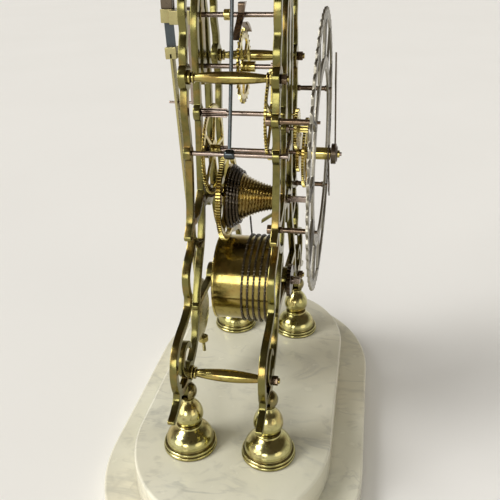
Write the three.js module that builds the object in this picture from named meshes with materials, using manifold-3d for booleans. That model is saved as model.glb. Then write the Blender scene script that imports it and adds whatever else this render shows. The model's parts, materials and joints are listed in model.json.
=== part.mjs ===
// Skeleton clock on a two-step marble base: scroll frames, fusee and chain, going train with
// anchor escapement, pendulum behind the rear frame, pierced dial and a passing strike on a bell.
// Millimetres, +Z up. The dial faces -Y. The origin is the middle of the base's underside.
import * as THREE from 'three';
import { mergeVertices } from 'three/addons/utils/BufferGeometryUtils.js';
import Module from 'manifold-3d';

const wasm = await Module();
wasm.setup();

// Fits
const SEAT = 0.05;
const RUN = 0.25;
const TURNED_GAP = 0.3;
const OVERRUN = 1;
const MERGE_WITHIN = 1e-4;
const OUTLINE_WITHIN = 0.25;
const RIBBON_STEP_SHARE = 0.8;

// Marble base
const LOWER_SLAB_T = 18;
const UPPER_SLAB_T = 22;
const SLAB_STEP = 22;
const SLAB_HALF_W = 66;
const SLAB_STRAIGHT = 60;
const SLAB_END = 78;
const SLAB_CHAMFER = 1.2;
const SLAB_END_STEPS = 13;
const DECK_Z = LOWER_SLAB_T + UPPER_SLAB_T;

// Scroll frames
const PLATE_INNER = 24;
const PLATE_T = 4.4;
const PLATE_OUTER = PLATE_INNER + PLATE_T;
const PLATE_MID = PLATE_INNER + PLATE_T / 2;
const FRAME_HEADROOM = 23.3;
const FRAME_HALF_W = 98;
const STRIP_HALF = 2.4;
const STRIP_TIP = 1.7;
const TONGUE_HALF = 3.5;
const TONGUE_DROP = 11;
const PIVOT_EYE_R = 5.2;
const CENTRE_EYE_R = 6;
const FUSEE_EYE_R = 7;
const BARREL_EYE_R = 9;
const SMALL_EYE_R = 4.5;
const PILLAR_EYE_R = 7.5;
const EYE_SIDES = 10;
const HOLE_SIDES = 6;

// Pillars
// Places are shares of the frame's half-width and height
const UPPER_PILLAR_SHARES = [0.403, 0.7857];
const LOWER_PILLAR_SHARES = [0.7296, 0.0571];
const UPPER_PILLAR_R = 3.6;
const LOWER_PILLAR_R = 4.1;
const PILLAR_END_SHARE = 0.62;
const PILLAR_COLLAR_SHARE = 1.12;
const COLLAR_T = 1.6;
const STUD_R = 1.8;
const NUT_R = 4.2;
const NUT_T = 3.4;
const NUT_SIDES = 6;
const STUD_TAIL = 1.2;

// Feet
const FOOT_SPREAD_SHARE = 0.7755;
const FOOT_R = 17.6;
const FOOT_H = 49.2;
const FOOT_SLOT_DEPTH = 8.2;
const TOE_HALF = 3.4;
const FOOT_SIDES = 12;

// Spring barrel
const BARREL_R = 29.4;
const BARREL_WALL = 1.5;
const BARREL_FRONT = -21.3;
const BARREL_BACK = 19.6;
const BARREL_LIP = 1.8;
const BARREL_RIM = 0.75;
const BARREL_FLANGE_T = 1.4;
const BARREL_CAP_T = 1.8;
const BARREL_SIDES = 22;
const BARREL_CORE_R = 6;
const BARREL_CORE_GAP = 1.2;
const BARREL_SQUARE_FRONT = -37;
const BARREL_SQUARE_HALF = 2;
const MAINSPRING_T = 0.8;
const MAINSPRING_TURNS = 3;
const MAINSPRING_STEPS = 10;
const RATCHET_TEETH = 22;
const RATCHET_R = 11.5;
const RATCHET_TOOTH = 1.4;
const RATCHET_T = 2.6;
const CLICK_X = 16.8;
const CLICK_R = 2.6;
const CLICK_TIP_HALF = 0.8;

// Arbor places and wheelwork
const FUSEE_RISE = 107.5;
const GREAT_GAP = 0.582;
const THIRD_X = -14.5;
const PALLET_DISTANCE = 29.7;
const GREAT_TEETH = 96;
const GREAT_MODULE = 0.61;
const CENTRE_LEAVES = 8;
const CENTRE_TEETH = 84;
const CENTRE_MODULE = 0.683;
const THIRD_LEAVES = 7;
const THIRD_TEETH = 78;
const THIRD_MODULE = 0.686;
const ESCAPE_LEAVES = 7;
const ESCAPE_TEETH = 30;
const ESCAPE_R = 22.2;
const ESCAPE_TOOTH = 3;
const MOTION_TEETH = 36;
const MOTION_MODULE = 0.65;
const HOUR_TEETH = 72;
const MINUTE_LEAVES = 6;
const MINUTE_POST_X = -13.8;
const WHEEL_TIP_SHARE = 0.8;
const WHEEL_ROOT_SHARE = 1.35;
const LEAF_TIP_SHARE = 0.55;
const LEAF_ROOT_SHARE = 1.3;
const RIM_T = 2.6;
const SPOKE_HALF = 1.1;
const SPOKES = 5;
const RIM_ARC_STEPS = 2;
const HUB_ARC_STEPS = 1;

const pitchR = (teeth, module) => (teeth * module) / 2;
const MOTION_DISTANCE = 2 * pitchR(MOTION_TEETH, MOTION_MODULE);
const HOUR_MODULE = (2 * MOTION_DISTANCE) / (HOUR_TEETH + MINUTE_LEAVES);
const above = (span, across) => Math.sqrt(span ** 2 - across ** 2);
const FOOT_SLOT_RISE = FOOT_H - FOOT_SLOT_DEPTH;
const FRAME_FOOT_Z = DECK_Z + FOOT_SLOT_RISE;
const FUSEE_Z = FRAME_FOOT_Z + FUSEE_RISE;
const GREAT_TIP_R = pitchR(GREAT_TEETH, GREAT_MODULE) + WHEEL_TIP_SHARE * GREAT_MODULE;
const BARREL_DROP = GREAT_TIP_R + GREAT_GAP + BARREL_R + BARREL_RIM;
const BARREL_Z = FUSEE_Z - BARREL_DROP;
const CENTRE_Z = FUSEE_Z + pitchR(GREAT_TEETH + CENTRE_LEAVES, GREAT_MODULE);
const THIRD_Z = CENTRE_Z + above(pitchR(CENTRE_TEETH + THIRD_LEAVES, CENTRE_MODULE), THIRD_X);
const ESCAPE_Z = THIRD_Z + above(pitchR(THIRD_TEETH + ESCAPE_LEAVES, THIRD_MODULE), THIRD_X);
const PALLET_Z = ESCAPE_Z + PALLET_DISTANCE;
const MINUTE_POST_Z = CENTRE_Z + above(MOTION_DISTANCE, MINUTE_POST_X);
const FRAME_TOP_Z = PALLET_Z + FRAME_HEADROOM;
const FRAME_H = FRAME_TOP_Z - FRAME_FOOT_Z;
const inFrame = ([x, z]) => [x * FRAME_HALF_W, FRAME_FOOT_Z + z * FRAME_H];
const [UPPER_PILLAR_X, UPPER_PILLAR_Z] = inFrame(UPPER_PILLAR_SHARES);
const [LOWER_PILLAR_X, LOWER_PILLAR_Z] = inFrame(LOWER_PILLAR_SHARES);
const FOOT_X = FOOT_SPREAD_SHARE * FRAME_HALF_W;

// Arbors
const ARBOR_SIDES = 8;
const PIVOT_R = 0.9;
const PIVOT_INSET = 0.4;
const ARBOR_R = 1.5;
const COLLET_R = 3.2;
const HEAVY_PIVOT_R = 1.6;
const HEAVY_ARBOR_R = 3;
const WHEEL_T = 1.5;
const GREAT_T = 3;
const GREAT_FRONT = 11.5;
const CENTRE_WHEEL_FRONT = 20.4;
const THIRD_WHEEL_FRONT = -20.1;
const ESCAPE_WHEEL_FRONT = -0.8;
const PINION_FRONT = 8;
const ESCAPE_PINION_FRONT = -21.4;
const ESCAPE_PINION_BACK = -16.8;
const CENTRE_PINION_BACK = 16;
const CENTRE_NOSE_R = 1.2;
const CENTRE_NOSE_FRONT = -61.5;

// Fusee and its chain
const FUSEE_BACK = 11;
const FUSEE_FRONT = -19.5;
const FUSEE_BIG_R = 21.6;
const FUSEE_SMALL_R = 8.5;
const FUSEE_CURVE = 1.7;
const FUSEE_GROOVES = 16;
const GROOVE_DEPTH = 0.6;
const FUSEE_SIDES = 12;
const FUSEE_BOSS_R = 6;
const FUSEE_BOSS_BACK = 19.4;
const FUSEE_SQUARE_FRONT = -44;
const FUSEE_SQUARE_HALF = 1.7;
const CHAIN_R = 0.65;
const CHAIN_FLOAT = 0.3;
const CHAIN_STEPS = 18;
const CHAIN_SIDES = 5;
const CHAIN_FUSEE_BACK = 9.4;
const CHAIN_FUSEE_FRONT = -1.6;
const CHAIN_FUSEE_TURNS = 5;
const CHAIN_BARREL_BACK = -2.4;
const CHAIN_BARREL_FRONT = -18;
const CHAIN_BARREL_TURNS = 4;
const CHAIN_GAP_LEAST = 0.4;

// Stop iron under the fusee's small end
const STOP_BLOCK_HALF = 4;
const STOP_BLOCK_H = 7;
const STOP_BLOCK_T = 3.4;
const STOP_BLOCK_DROP = 4;
const STOP_LEVER_HALF = 1.4;
const STOP_LEVER_T = 1.6;
const STOP_LEVER_REACH = 10;
const STOP_LEVER_FALL = 7;

// Anchor, crutch and back cock
const NIB_SPAN_TEETH = 8;
const NIB_GAP = 0.35;
const NIB_HALF = 0.7;
const ANCHOR_IN = 3.4;
const ANCHOR_BAND = 3.4;
const ANCHOR_T = 4;
const ANCHOR_STEPS = 9;
const ANCHOR_BLOCK_HALF = 4.4;
const ANCHOR_BLOCK_TOP = 8.3;
const PALLET_COLLET_FRONT = 7.4;
const PALLET_COLLET_BACK = 11;
const COCK_FRONT = 38;
const COCK_BACK = 41;
const COCK_ARM_BACK = 49;
const COCK_LEG_X = 11.2;
const COCK_LEG_HALF = 2.6;
const COCK_BELOW = 4.4;
const COCK_ABOVE = 3.4;
const COCK_ARM_HALF = 5;
const COCK_SLOT_HALF = 0.8;
const BLOCK_FRONT = 42;
const BLOCK_HALF = 3;
const BLOCK_H = 6;
const BLOCK_SLOT_H = 4;
const CRUTCH_Y = 33;
const CRUTCH_T = 2.2;
const CRUTCH_HALF = 1.3;
const CRUTCH_DROP = 52.5;
const CRUTCH_PIN_R = 0.8;
const CRUTCH_PIN_BACK = 48.7;
const CRUTCH_HUB_R = 4;

// Pendulum
const PENDULUM_Y = 45.7;
const PENDULUM_LEAN = 2.6;
const SPRING_W = 6;
const SPRING_T = 0.3;
const SPRING_TOP = 3.6;
const SPRING_END = 20;
const CHOP_TOP = 18.6;
const CHOP_H = 7;
const CHOP_T = 3.6;
const ROD_W = 7;
const ROD_T = 1.6;
const ROD_SLOT_H = 10;
const ROD_SLOT_HALF = 1.25;
const ROD_STRIP_PAST = 17.1;
const ROD_PAST = 36.1;
const THREAD_R = 1.3;
const BOB_R = 23;
const BOB_T = 8;
const BOB_DROP = 204.9;
const ROD_STRIP_END = BOB_DROP + ROD_STRIP_PAST;
const ROD_END = BOB_DROP + ROD_PAST;
const BOB_SIDES = 20;
const RATING_NUT_R = 5;
const RATING_NUT_T = 4.6;

// Motion work, dial and hands
const MOTION_FRONT = -35.6;
const MOTION_T = 1.8;
const CANNON_R = 2.3;
const CANNON_BORE = 1.4;
const CANNON_FRONT = -60.3;
const HOUR_WHEEL_FRONT = -40;
const HOUR_PIPE_R = 3.9;
const HOUR_PIPE_BORE = 2.6;
const HOUR_PIPE_FRONT = -54.6;
const MINUTE_POST_R = 1.1;
const MINUTE_POST_FRONT = -43;
const MINUTE_PINION_FRONT = -41.4;
const STRIKE_PIN_R = 0.6;
const STRIKE_PIN_RING = 8.5;
const STRIKE_PIN_BACK = -30.6;
const HAND_T = 0.9;
const HOUR_HAND_FRONT = -53.8;
const HOUR_HAND_L = 44;
const HOUR_HAND_ANGLE = 147.5;
const MINUTE_HAND_FRONT = -57.9;
const MINUTE_HAND_L = 76;
const MINUTE_HAND_ANGLE = -28;
const HAND_ROOT_HALF = 1.5;
const HAND_WAIST_HALF = 0.8;
const HAND_SPADE_HALF = 3.2;
const HAND_BOSS_R = 5.6;
const HAND_ROOT_SHARE = 0.9;
const MINUTE_COLLET_R = 6.4;
const MINUTE_COLLET_FRONT = -58.9;
const MINUTE_COLLET_BACK = -55;
const DIAL_FRONT = -49.3;
const DIAL_T = 1.5;
const DIAL_R = 84.5;
const DIAL_LOBE = 2.5;
const DIAL_LOBES = 60;
const DIAL_OUTER_BAND = 4.5;
const DIAL_INNER_R = 51.5;
const DIAL_INNER_BAND = 7.5;
const DIAL_STEPS = 32;
const NUMERAL_BAR = 1.9;
const NUMERAL_THIN = 0.9;
const NUMERAL_PITCH = 4.2;
const NUMERAL_LAP = 1;
const POST_UPPER_ANGLE = 34.5;
const POST_LOWER_ANGLE = -40.3;
const POST_R = 2;
const POST_PIN_R = 0.9;
const POST_STUD_R = 1.2;
const POST_FRONT = -51;
const POST_NUT_R = 2.8;
const POST_NUT_T = 3.2;
const POST_EYE_R = 3.8;

// Strike
const HAMMER_OUT = 1.506;
const HAMMER_RISE = 9.78;
const HAMMER_FRONT = -33;
const HAMMER_Y = 1.4;
const HAMMER_STEM_R = 1.1;
const HAMMER_BEND = 29;
const HAMMER_SIDES = 6;
const HAMMER_BLOCK_HALF = 3;
const HAMMER_BLOCK_T = 6;
const HAMMER_HEAD_R = 4;
const HAMMER_HEAD_L = 9;
const HAMMER_HEAD_RISE = 16;
const HAMMER_TAIL_FRONT = -32.6;
const HAMMER_TAIL_BACK = -30.9;
const HAMMER_TAIL_HALF = 1.3;
const BELL_R = 22;
const BELL_WALL = 1.5;
const BELL_H = 20;
const BELL_RIM_RISE = 12;
const BELL_SIDES = 18;
const BELL_GAP = 0.5;
const BELL_POST_R = 1.8;
const BELL_ARM_HALF = 4;
const BELL_ARM_T = 3;
const BELL_ARM_GAP = 1.6;
const BELL_FOOT_DROP = 12;
const BELL_NUT_R = 3.6;
const BELL_NUT_T = 3;

// Looks: colour, roughness, metalness
const LOOKS = {
  marble: [0xd9d8d2, 0.4, 0],
  frame: [0x9a8f45, 0.32, 1],
  brass: [0xb5a552, 0.28, 1],
  paleBrass: [0xd6cc7c, 0.18, 1],
  steel: [0x8b837c, 0.3, 1],
  darkSteel: [0x3a3430, 0.45, 1],
  blueSteel: [0x4c5450, 0.3, 1],
  silvered: [0xb0aca0, 0.5, 0.8],
  bellMetal: [0xc0b060, 0.2, 1],
};

// Arbor places, [x, z]
const centreAt = [0, CENTRE_Z];
const thirdAt = [THIRD_X, THIRD_Z];
const escapeAt = [0, ESCAPE_Z];
const palletAt = [0, PALLET_Z];
const fuseeAt = [0, FUSEE_Z];
const minuteAt = [MINUTE_POST_X, MINUTE_POST_Z];
const HAMMER_X = -UPPER_PILLAR_X - HAMMER_OUT;
const hammerAt = [HAMMER_X, CENTRE_Z + HAMMER_RISE];

const radians = THREE.MathUtils.degToRad;
const clock = new THREE.Group();

// Solids from three.js geometry, and back
function solid(geometry) {
  const bare = geometry.index ? geometry.toNonIndexed() : geometry.clone();
  for (const name of Object.keys(bare.attributes)) {
    if (name !== 'position') bare.deleteAttribute(name);
  }
  const merged = mergeVertices(bare, MERGE_WITHIN);
  const at = merged.attributes.position;
  const corner = (i) => new THREE.Vector3().fromBufferAttribute(at, i);
  const kept = [];
  let volume = 0;
  for (let i = 0; i < merged.index.count; i += 3) {
    const [a, b, c] = [0, 1, 2].map((k) => merged.index.getX(i + k));
    if (a !== b && b !== c && c !== a) {
      kept.push([a, b, c]);
      volume += corner(a).dot(corner(b).cross(corner(c)));
    }
  }
  const triVerts = new Uint32Array(kept.flatMap(([a, b, c]) => (volume < 0 ? [a, c, b] : [a, b, c])));
  const vertProperties = new Float32Array(at.array);
  return new wasm.Manifold(new wasm.Mesh({ numProp: 3, vertProperties, triVerts }));
}

function geometryOf(body) {
  const mesh = body.asOriginal().simplify(MERGE_WITHIN).getMesh();
  const geometry = new THREE.BufferGeometry();
  geometry.setAttribute('position', new THREE.BufferAttribute(new Float32Array(mesh.vertProperties), 3));
  geometry.setIndex(new THREE.BufferAttribute(new Uint32Array(mesh.triVerts), 1));
  geometry.computeVertexNormals();
  return geometry;
}

function place(parent, name, body, look) {
  const [color, roughness, metalness] = LOOKS[look];
  const material = new THREE.MeshStandardMaterial({ color, roughness, metalness });
  const mesh = new THREE.Mesh(geometryOf(body), material);
  mesh.name = name;
  parent.add(mesh);
  return mesh;
}

function axisGroup(x, y, z) {
  const group = new THREE.Group();
  group.position.set(x, y, z);
  clock.add(group);
  return group;
}

const unite = (bodies) => bodies.reduce((whole, next) => whole.add(next));
const cutAll = (body, tools) => tools.reduce((left, tool) => left.subtract(tool), body);

// Basic forms. An ngon's flats stand at the radius given, so that a round piece of that radius fits in
const around = (r, degrees, x = 0, z = 0) =>
  new THREE.Vector2(x + r * Math.cos(radians(degrees)), z + r * Math.sin(radians(degrees)));
const fullTurn = 360;
const quarterTurn = fullTurn / 4;
const halfTurn = fullTurn / 2;

function ngon(r, sides, x = 0, z = 0) {
  return Array.from({ length: sides }, (_, i) => around(r, (fullTurn * i) / sides, x, z));
}

function boreNgon(r, sides, x = 0, z = 0) {
  return ngon(r / Math.cos(Math.PI / sides), sides, x, z);
}

function upright(points, front, back, holes = []) {
  const shape = new THREE.Shape(points);
  shape.holes = holes.map((hole) => new THREE.Path(hole));
  const geometry = new THREE.ExtrudeGeometry(shape, { depth: back - front, bevelEnabled: false });
  return solid(geometry.rotateX(Math.PI / 2).translate(0, back, 0));
}

function box(x0, x1, y0, y1, z0, z1) {
  const geometry = new THREE.BoxGeometry(x1 - x0, y1 - y0, z1 - z0);
  return solid(geometry.translate((x0 + x1) / 2, (y0 + y1) / 2, (z0 + z1) / 2));
}

// Profile points are [radius, place along the axis]; turnedY lies along Y and turnedZ stands up
function turnedY(profile, sides) {
  return solid(new THREE.LatheGeometry(profile.map(([r, y]) => new THREE.Vector2(r, y)), sides));
}

function turnedZ(profile, sides) {
  const points = profile.map(([r, z]) => new THREE.Vector2(r, z));
  return solid(new THREE.LatheGeometry(points, sides).rotateX(Math.PI / 2));
}

// Each station is [front, radius]; the last one only gives the back end
function spindle(stations, back, sides = ARBOR_SIDES) {
  const profile = [[0, stations[0][0]]];
  stations.forEach(([front, r], i) => {
    const end = i + 1 < stations.length ? stations[i + 1][0] : back;
    profile.push([r, front], [r, end]);
  });
  profile.push([0, back]);
  return turnedY(profile, sides);
}

// The flats of a turned bore stand at the radius given, as an ngon's do
const boreCorner = (r, sides = ARBOR_SIDES) => r / Math.cos(Math.PI / sides);

function tube(front, back, r, boreR, sides = ARBOR_SIDES) {
  const bore = boreCorner(boreR, sides);
  return turnedY([[bore, front], [r, front], [r, back], [bore, back], [bore, front]], sides);
}

// A closed skin round a row of rings, each ring a list of points in the same order
function skin(rings) {
  const count = rings[0].length;
  const index = [];
  for (let i = 0; i + 1 < rings.length; i += 1) {
    for (let j = 0; j < count; j += 1) {
      const k = (j + 1) % count;
      const [a, b, c, d] = [i * count + j, i * count + k, (i + 1) * count + k, (i + 1) * count + j];
      index.push(a, b, c, a, c, d);
    }
  }
  const last = (rings.length - 1) * count;
  for (let j = 1; j + 1 < count; j += 1) {
    index.push(0, j + 1, j, last, last + j, last + j + 1);
  }
  const geometry = new THREE.BufferGeometry();
  const at = rings.flat().flatMap((p) => [p.x, p.y, p.z]);
  geometry.setAttribute('position', new THREE.Float32BufferAttribute(at, 3));
  geometry.setIndex(index);
  return solid(geometry);
}

// A strip of the given half-widths along a smooth line through the points
function ribbon(points, rootHalf, tipHalf, front, back) {
  const curve = new THREE.SplineCurve(points);
  const steps = Math.ceil(RIBBON_STEP_SHARE * (points.length - 1));
  const rings = Array.from({ length: steps + 1 }, (_, i) => {
    const at = curve.getPoint(i / steps);
    const along = curve.getTangent(i / steps);
    const half = rootHalf + ((tipHalf - rootHalf) * i) / steps;
    const [outX, outZ] = [-along.y * half, along.x * half];
    const edge = (side, y) => new THREE.Vector3(at.x + side * outX, y, at.y + side * outZ);
    return [edge(1, front), edge(-1, front), edge(-1, back), edge(1, back)];
  });
  return skin(rings);
}

// Marble base
function slabOutline(grow) {
  const points = [];
  for (const side of [1, -1]) {
    for (let i = 0; i <= SLAB_END_STEPS; i += 1) {
      const turn = -quarterTurn + (halfTurn * i) / SLAB_END_STEPS;
      const out = (SLAB_END + grow) * Math.cos(radians(turn));
      const across = (SLAB_HALF_W + grow) * Math.sin(radians(turn));
      points.push(new THREE.Vector2(side * (SLAB_STRAIGHT + out), side * across));
    }
  }
  return points;
}

function slab(grow, bottom, thickness) {
  const geometry = new THREE.ExtrudeGeometry(new THREE.Shape(slabOutline(grow - SLAB_CHAMFER)), {
    depth: thickness - 2 * SLAB_CHAMFER,
    bevelThickness: SLAB_CHAMFER,
    bevelSize: SLAB_CHAMFER,
    bevelSegments: 1,
  });
  return solid(geometry.translate(0, 0, bottom + SLAB_CHAMFER));
}

function makeBase() {
  place(clock, 'base_lower_slab', slab(SLAB_STEP, 0, LOWER_SLAB_T), 'marble');
  place(clock, 'base_upper_slab', slab(0, LOWER_SLAB_T, UPPER_SLAB_T), 'marble');
}

// Feet: shares of the foot's radius and height, from the rim up to the slotted knob
const FOOT_SHARES = [
  [1, 0], [1, 0.05], [0.93, 0.11], [0.82, 0.21], [0.58, 0.29], [0.38, 0.355], [0.53, 0.46],
  [0.54, 0.56], [0.42, 0.67], [0.21, 0.77], [0.34, 0.84], [0.36, 0.9], [0.25, 0.98], [0, 1],
];

function makeFeet() {
  const profile = [[0, 0], ...FOOT_SHARES.map(([r, h]) => [r * FOOT_R, h * FOOT_H])];
  const slotHalf = PLATE_T / 2 + SEAT;
  const slot = box(-FOOT_R, FOOT_R, -slotHalf, slotHalf, FOOT_SLOT_RISE, FOOT_H + OVERRUN);
  const foot = turnedZ(profile, FOOT_SIDES).subtract(slot);
  for (const [sideName, side] of [['left', -1], ['right', 1]]) {
    for (const [endName, end] of [['front', -1], ['rear', 1]]) {
      const mesh = place(clock, `foot_${endName}_${sideName}`, foot, 'paleBrass');
      mesh.position.set(side * FOOT_X, end * PLATE_MID, DECK_Z);
    }
  }
}

// Scroll frames: shares of the frame's half-width and height
const UPPER_SCROLL_SHARES = [
  [0, 1], [0.204, 0.996], [0.347, 0.959], [0.378, 0.918], [0.367, 0.882], [0.408, 0.837],
];
const SIDE_SCROLL_SHARES = [
  [0.439, 0.71], [0.418, 0.649], [0.413, 0.567], [0.439, 0.485], [0.469, 0.433], [0.531, 0.405],
];
const C_SCROLL_SHARES = [
  [0.459, 0.444], [0.449, 0.396], [0.5, 0.364], [0.582, 0.343], [0.633, 0.315], [0.633, 0.282],
  [0.612, 0.258],
];
const LEG_SHARES = [
  [0.612, 0.258], [0.643, 0.228], [0.735, 0.209], [0.857, 0.196], [0.949, 0.176], [1, 0.138],
  [0.995, 0.098], [0.949, 0.061], [0.86, 0.047],
];
const TOE_SHARES = [[0.96, 0.078], [0.99, 0.045], [1.06, 0.029], [1.12, 0.023]];
const INNER_STRIP_SHARES = [
  [0.03, 0.988], [0.092, 0.935], [0.133, 0.882], [0.138, 0.812], [0.143, 0.73], [0.143, 0.649],
  [0.158, 0.559], [0.173, 0.477], [0.189, 0.405], [0.245, 0.339], [0.337, 0.282], [0.408, 0.228],
  [0.469, 0.168], [0.51, 0.119], [0.582, 0.086],
];
const CURL_SHARES = [[0.816, 0.078], [0.857, 0.11], [0.816, 0.143], [0.735, 0.147], [0.684, 0.127]];
const UPPER_LINK_SHARES = [[0.173, 0.477], [0.265, 0.444], [0.367, 0.428], [0.459, 0.436]];
const LOWER_LINK_SHARES = [[0.449, 0.388], [0.367, 0.356], [0.25, 0.339]];

function scrollPoints(shares, side) {
  return shares.map(inFrame).map(([x, z]) => new THREE.Vector2(side * x, z));
}

// The distance from the middle at which a scroll passes a height
function scrollX(shares, z) {
  const points = scrollPoints(shares, 1);
  const i = points.findIndex((p, k) => k > 0 && (p.y - z) * (points[k - 1].y - z) <= 0);
  const [a, b] = [points[i - 1], points[i]];
  return a.x + ((b.x - a.x) * (z - a.y)) / (b.y - a.y);
}

function frameScrolls(side, front, back) {
  const upper = new THREE.Vector2(side * UPPER_PILLAR_X, UPPER_PILLAR_Z);
  const lower = new THREE.Vector2(side * LOWER_PILLAR_X, LOWER_PILLAR_Z);
  const of = (shares) => scrollPoints(shares, side);
  const strip = (points, tip = STRIP_HALF) => ribbon(points, STRIP_HALF, tip, front, back);
  return [
    strip([...of(UPPER_SCROLL_SHARES), upper]),
    strip([upper, ...of(SIDE_SCROLL_SHARES)]),
    strip(of(C_SCROLL_SHARES)),
    strip([...of(LEG_SHARES), lower]),
    strip(of(TOE_SHARES), STRIP_TIP),
    strip([...of(INNER_STRIP_SHARES), lower]),
    strip([lower, ...of(CURL_SHARES)], STRIP_TIP),
    strip(of(UPPER_LINK_SHARES)),
    strip(of(LOWER_LINK_SHARES)),
  ];
}

function barAt(z, reach, front, back) {
  return box(-reach, reach, front, back, z - STRIP_HALF, z + STRIP_HALF);
}

function eye(x, z, r, front, back) {
  return upright(ngon(r, EYE_SIDES, x, z), front, back);
}

// An eye tied to the nearest point of a scroll
function tiedEye(x, z, r, shares, front, back) {
  const at = new THREE.Vector2(x, z);
  const points = scrollPoints(shares, Math.sign(x));
  const feet = points.slice(1).map((b, i) => {
    const along = b.clone().sub(points[i]);
    const share = THREE.MathUtils.clamp(at.clone().sub(points[i]).dot(along) / along.lengthSq(), 0, 1);
    return points[i].clone().addScaledVector(along, share);
  });
  const [nearest] = feet.sort((a, b) => a.distanceTo(at) - b.distanceTo(at));
  return eye(x, z, r, front, back).add(ribbon([at, nearest], STRIP_TIP, STRIP_TIP, front, back));
}

function plateBody(front, back) {
  const toeTop = LOWER_PILLAR_Z;
  const toeFloor = FRAME_FOOT_Z + SEAT;
  const bodies = [
    box(-TONGUE_HALF, TONGUE_HALF, front, back, ESCAPE_Z - TONGUE_DROP, FRAME_TOP_Z),
    eye(0, PALLET_Z, PIVOT_EYE_R, front, back),
    eye(0, ESCAPE_Z, PIVOT_EYE_R, front, back),
    eye(0, CENTRE_Z, CENTRE_EYE_R, front, back),
    eye(0, FUSEE_Z, FUSEE_EYE_R, front, back),
    eye(0, BARREL_Z, BARREL_EYE_R, front, back),
    tiedEye(...thirdAt, PIVOT_EYE_R, INNER_STRIP_SHARES, front, back),
    tiedEye(...hammerAt, SMALL_EYE_R, SIDE_SCROLL_SHARES, front, back),
  ];
  for (const z of [CENTRE_Z, FUSEE_Z, BARREL_Z]) {
    bodies.push(barAt(z, scrollX(INNER_STRIP_SHARES, z), front, back));
  }
  for (const side of [1, -1]) {
    bodies.push(...frameScrolls(side, front, back));
    bodies.push(eye(side * UPPER_PILLAR_X, UPPER_PILLAR_Z, PILLAR_EYE_R, front, back));
    bodies.push(eye(side * LOWER_PILLAR_X, LOWER_PILLAR_Z, PILLAR_EYE_R, front, back));
    bodies.push(box(side * FOOT_X - TOE_HALF, side * FOOT_X + TOE_HALF, front, back, toeFloor, toeTop));
  }
  return unite(bodies).asOriginal().simplify(OUTLINE_WITHIN);
}

function drill(x, z, r, front, back) {
  return upright(boreNgon(r, HOLE_SIDES, x, z), front - OVERRUN, back + OVERRUN);
}

function pillarHoles(front, back) {
  const places = [-1, 1].flatMap((side) => [
    [side * UPPER_PILLAR_X, UPPER_PILLAR_Z],
    [side * LOWER_PILLAR_X, LOWER_PILLAR_Z],
  ]);
  return places.map(([x, z]) => drill(x, z, STUD_R + SEAT, front, back));
}

const STOP_TOP_Z = FUSEE_Z - STOP_BLOCK_DROP - HEAVY_ARBOR_R - COLLAR_T;

const dialPosts = [-1, 1].flatMap((side) => [
  { side, angle: POST_UPPER_ANGLE, shares: SIDE_SCROLL_SHARES, level: 'upper' },
  { side, angle: POST_LOWER_ANGLE, shares: C_SCROLL_SHARES, level: 'lower' },
]).map((post) => {
  const at = around(DIAL_INNER_R + DIAL_INNER_BAND / 2, post.angle, 0, CENTRE_Z);
  return { ...post, x: post.side * at.x, z: at.y };
});

function makePlates() {
  const [rearFront, rearBack] = [PLATE_INNER, PLATE_OUTER];
  const [front, back] = [-PLATE_OUTER, -PLATE_INNER];
  const lightPivots = [centreAt, thirdAt, escapeAt, hammerAt];
  const rearHoles = [
    ...pillarHoles(rearFront, rearBack),
    ...lightPivots.map(([x, z]) => drill(x, z, PIVOT_R + RUN, rearFront, rearBack)),
    drill(0, PALLET_Z, ARBOR_R + RUN, rearFront, rearBack),
    drill(0, FUSEE_Z, HEAVY_PIVOT_R + RUN, rearFront, rearBack),
    drill(0, BARREL_Z, HEAVY_PIVOT_R + RUN, rearFront, rearBack),
  ];
  const rear = cutAll(plateBody(rearFront, rearBack), rearHoles);
  place(clock, 'plate_rear', rear, 'frame');

  const posts = dialPosts.map(({ x, z, shares }) => tiedEye(x, z, POST_EYE_R, shares, front, back));
  const postSeat = tiedEye(MINUTE_POST_X, MINUTE_POST_Z, POST_EYE_R, INNER_STRIP_SHARES, front, back);
  const stopLug = box(-STOP_BLOCK_HALF, STOP_BLOCK_HALF, front, back, STOP_TOP_Z - STOP_BLOCK_H, FUSEE_Z);
  const frontHoles = [
    ...pillarHoles(front, back),
    ...[thirdAt, escapeAt, palletAt].map(([x, z]) => drill(x, z, PIVOT_R + RUN, front, back)),
    drill(...hammerAt, ARBOR_R + RUN, front, back),
    drill(0, CENTRE_Z, CENTRE_NOSE_R + RUN, front, back),
    drill(0, FUSEE_Z, HEAVY_ARBOR_R + RUN, front, back),
    drill(0, BARREL_Z, HEAVY_ARBOR_R + RUN, front, back),
    ...dialPosts.map(({ x, z }) => drill(x, z, POST_STUD_R + SEAT, front, back)),
  ];
  const frontPlate = unite([plateBody(front, back), ...posts, postSeat, stopLug]);
  place(clock, 'plate_front', cutAll(frontPlate, frontHoles), 'frame');
}

// Pillars between the frames, their studs passing through both and nutted in front
function pillarBody(r) {
  const inner = PLATE_INNER - SEAT;
  const end = r * PILLAR_END_SHARE;
  const collar = r * PILLAR_COLLAR_SHARE;
  const half = [
    [collar, inner],
    [collar, inner - COLLAR_T],
    [end, inner - 2 * COLLAR_T],
  ];
  const mirrored = half.map(([radius, y]) => [radius, -y]);
  const nutEnd = -(PLATE_OUTER + NUT_T + STUD_TAIL);
  const profile = [
    [0, nutEnd],
    [STUD_R, nutEnd],
    [STUD_R, -inner],
    ...mirrored,
    [r, 0],
    ...half.reverse(),
    [STUD_R, inner],
    [STUD_R, PLATE_OUTER],
    [0, PLATE_OUTER],
  ];
  return turnedY(profile, ARBOR_SIDES);
}

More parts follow.
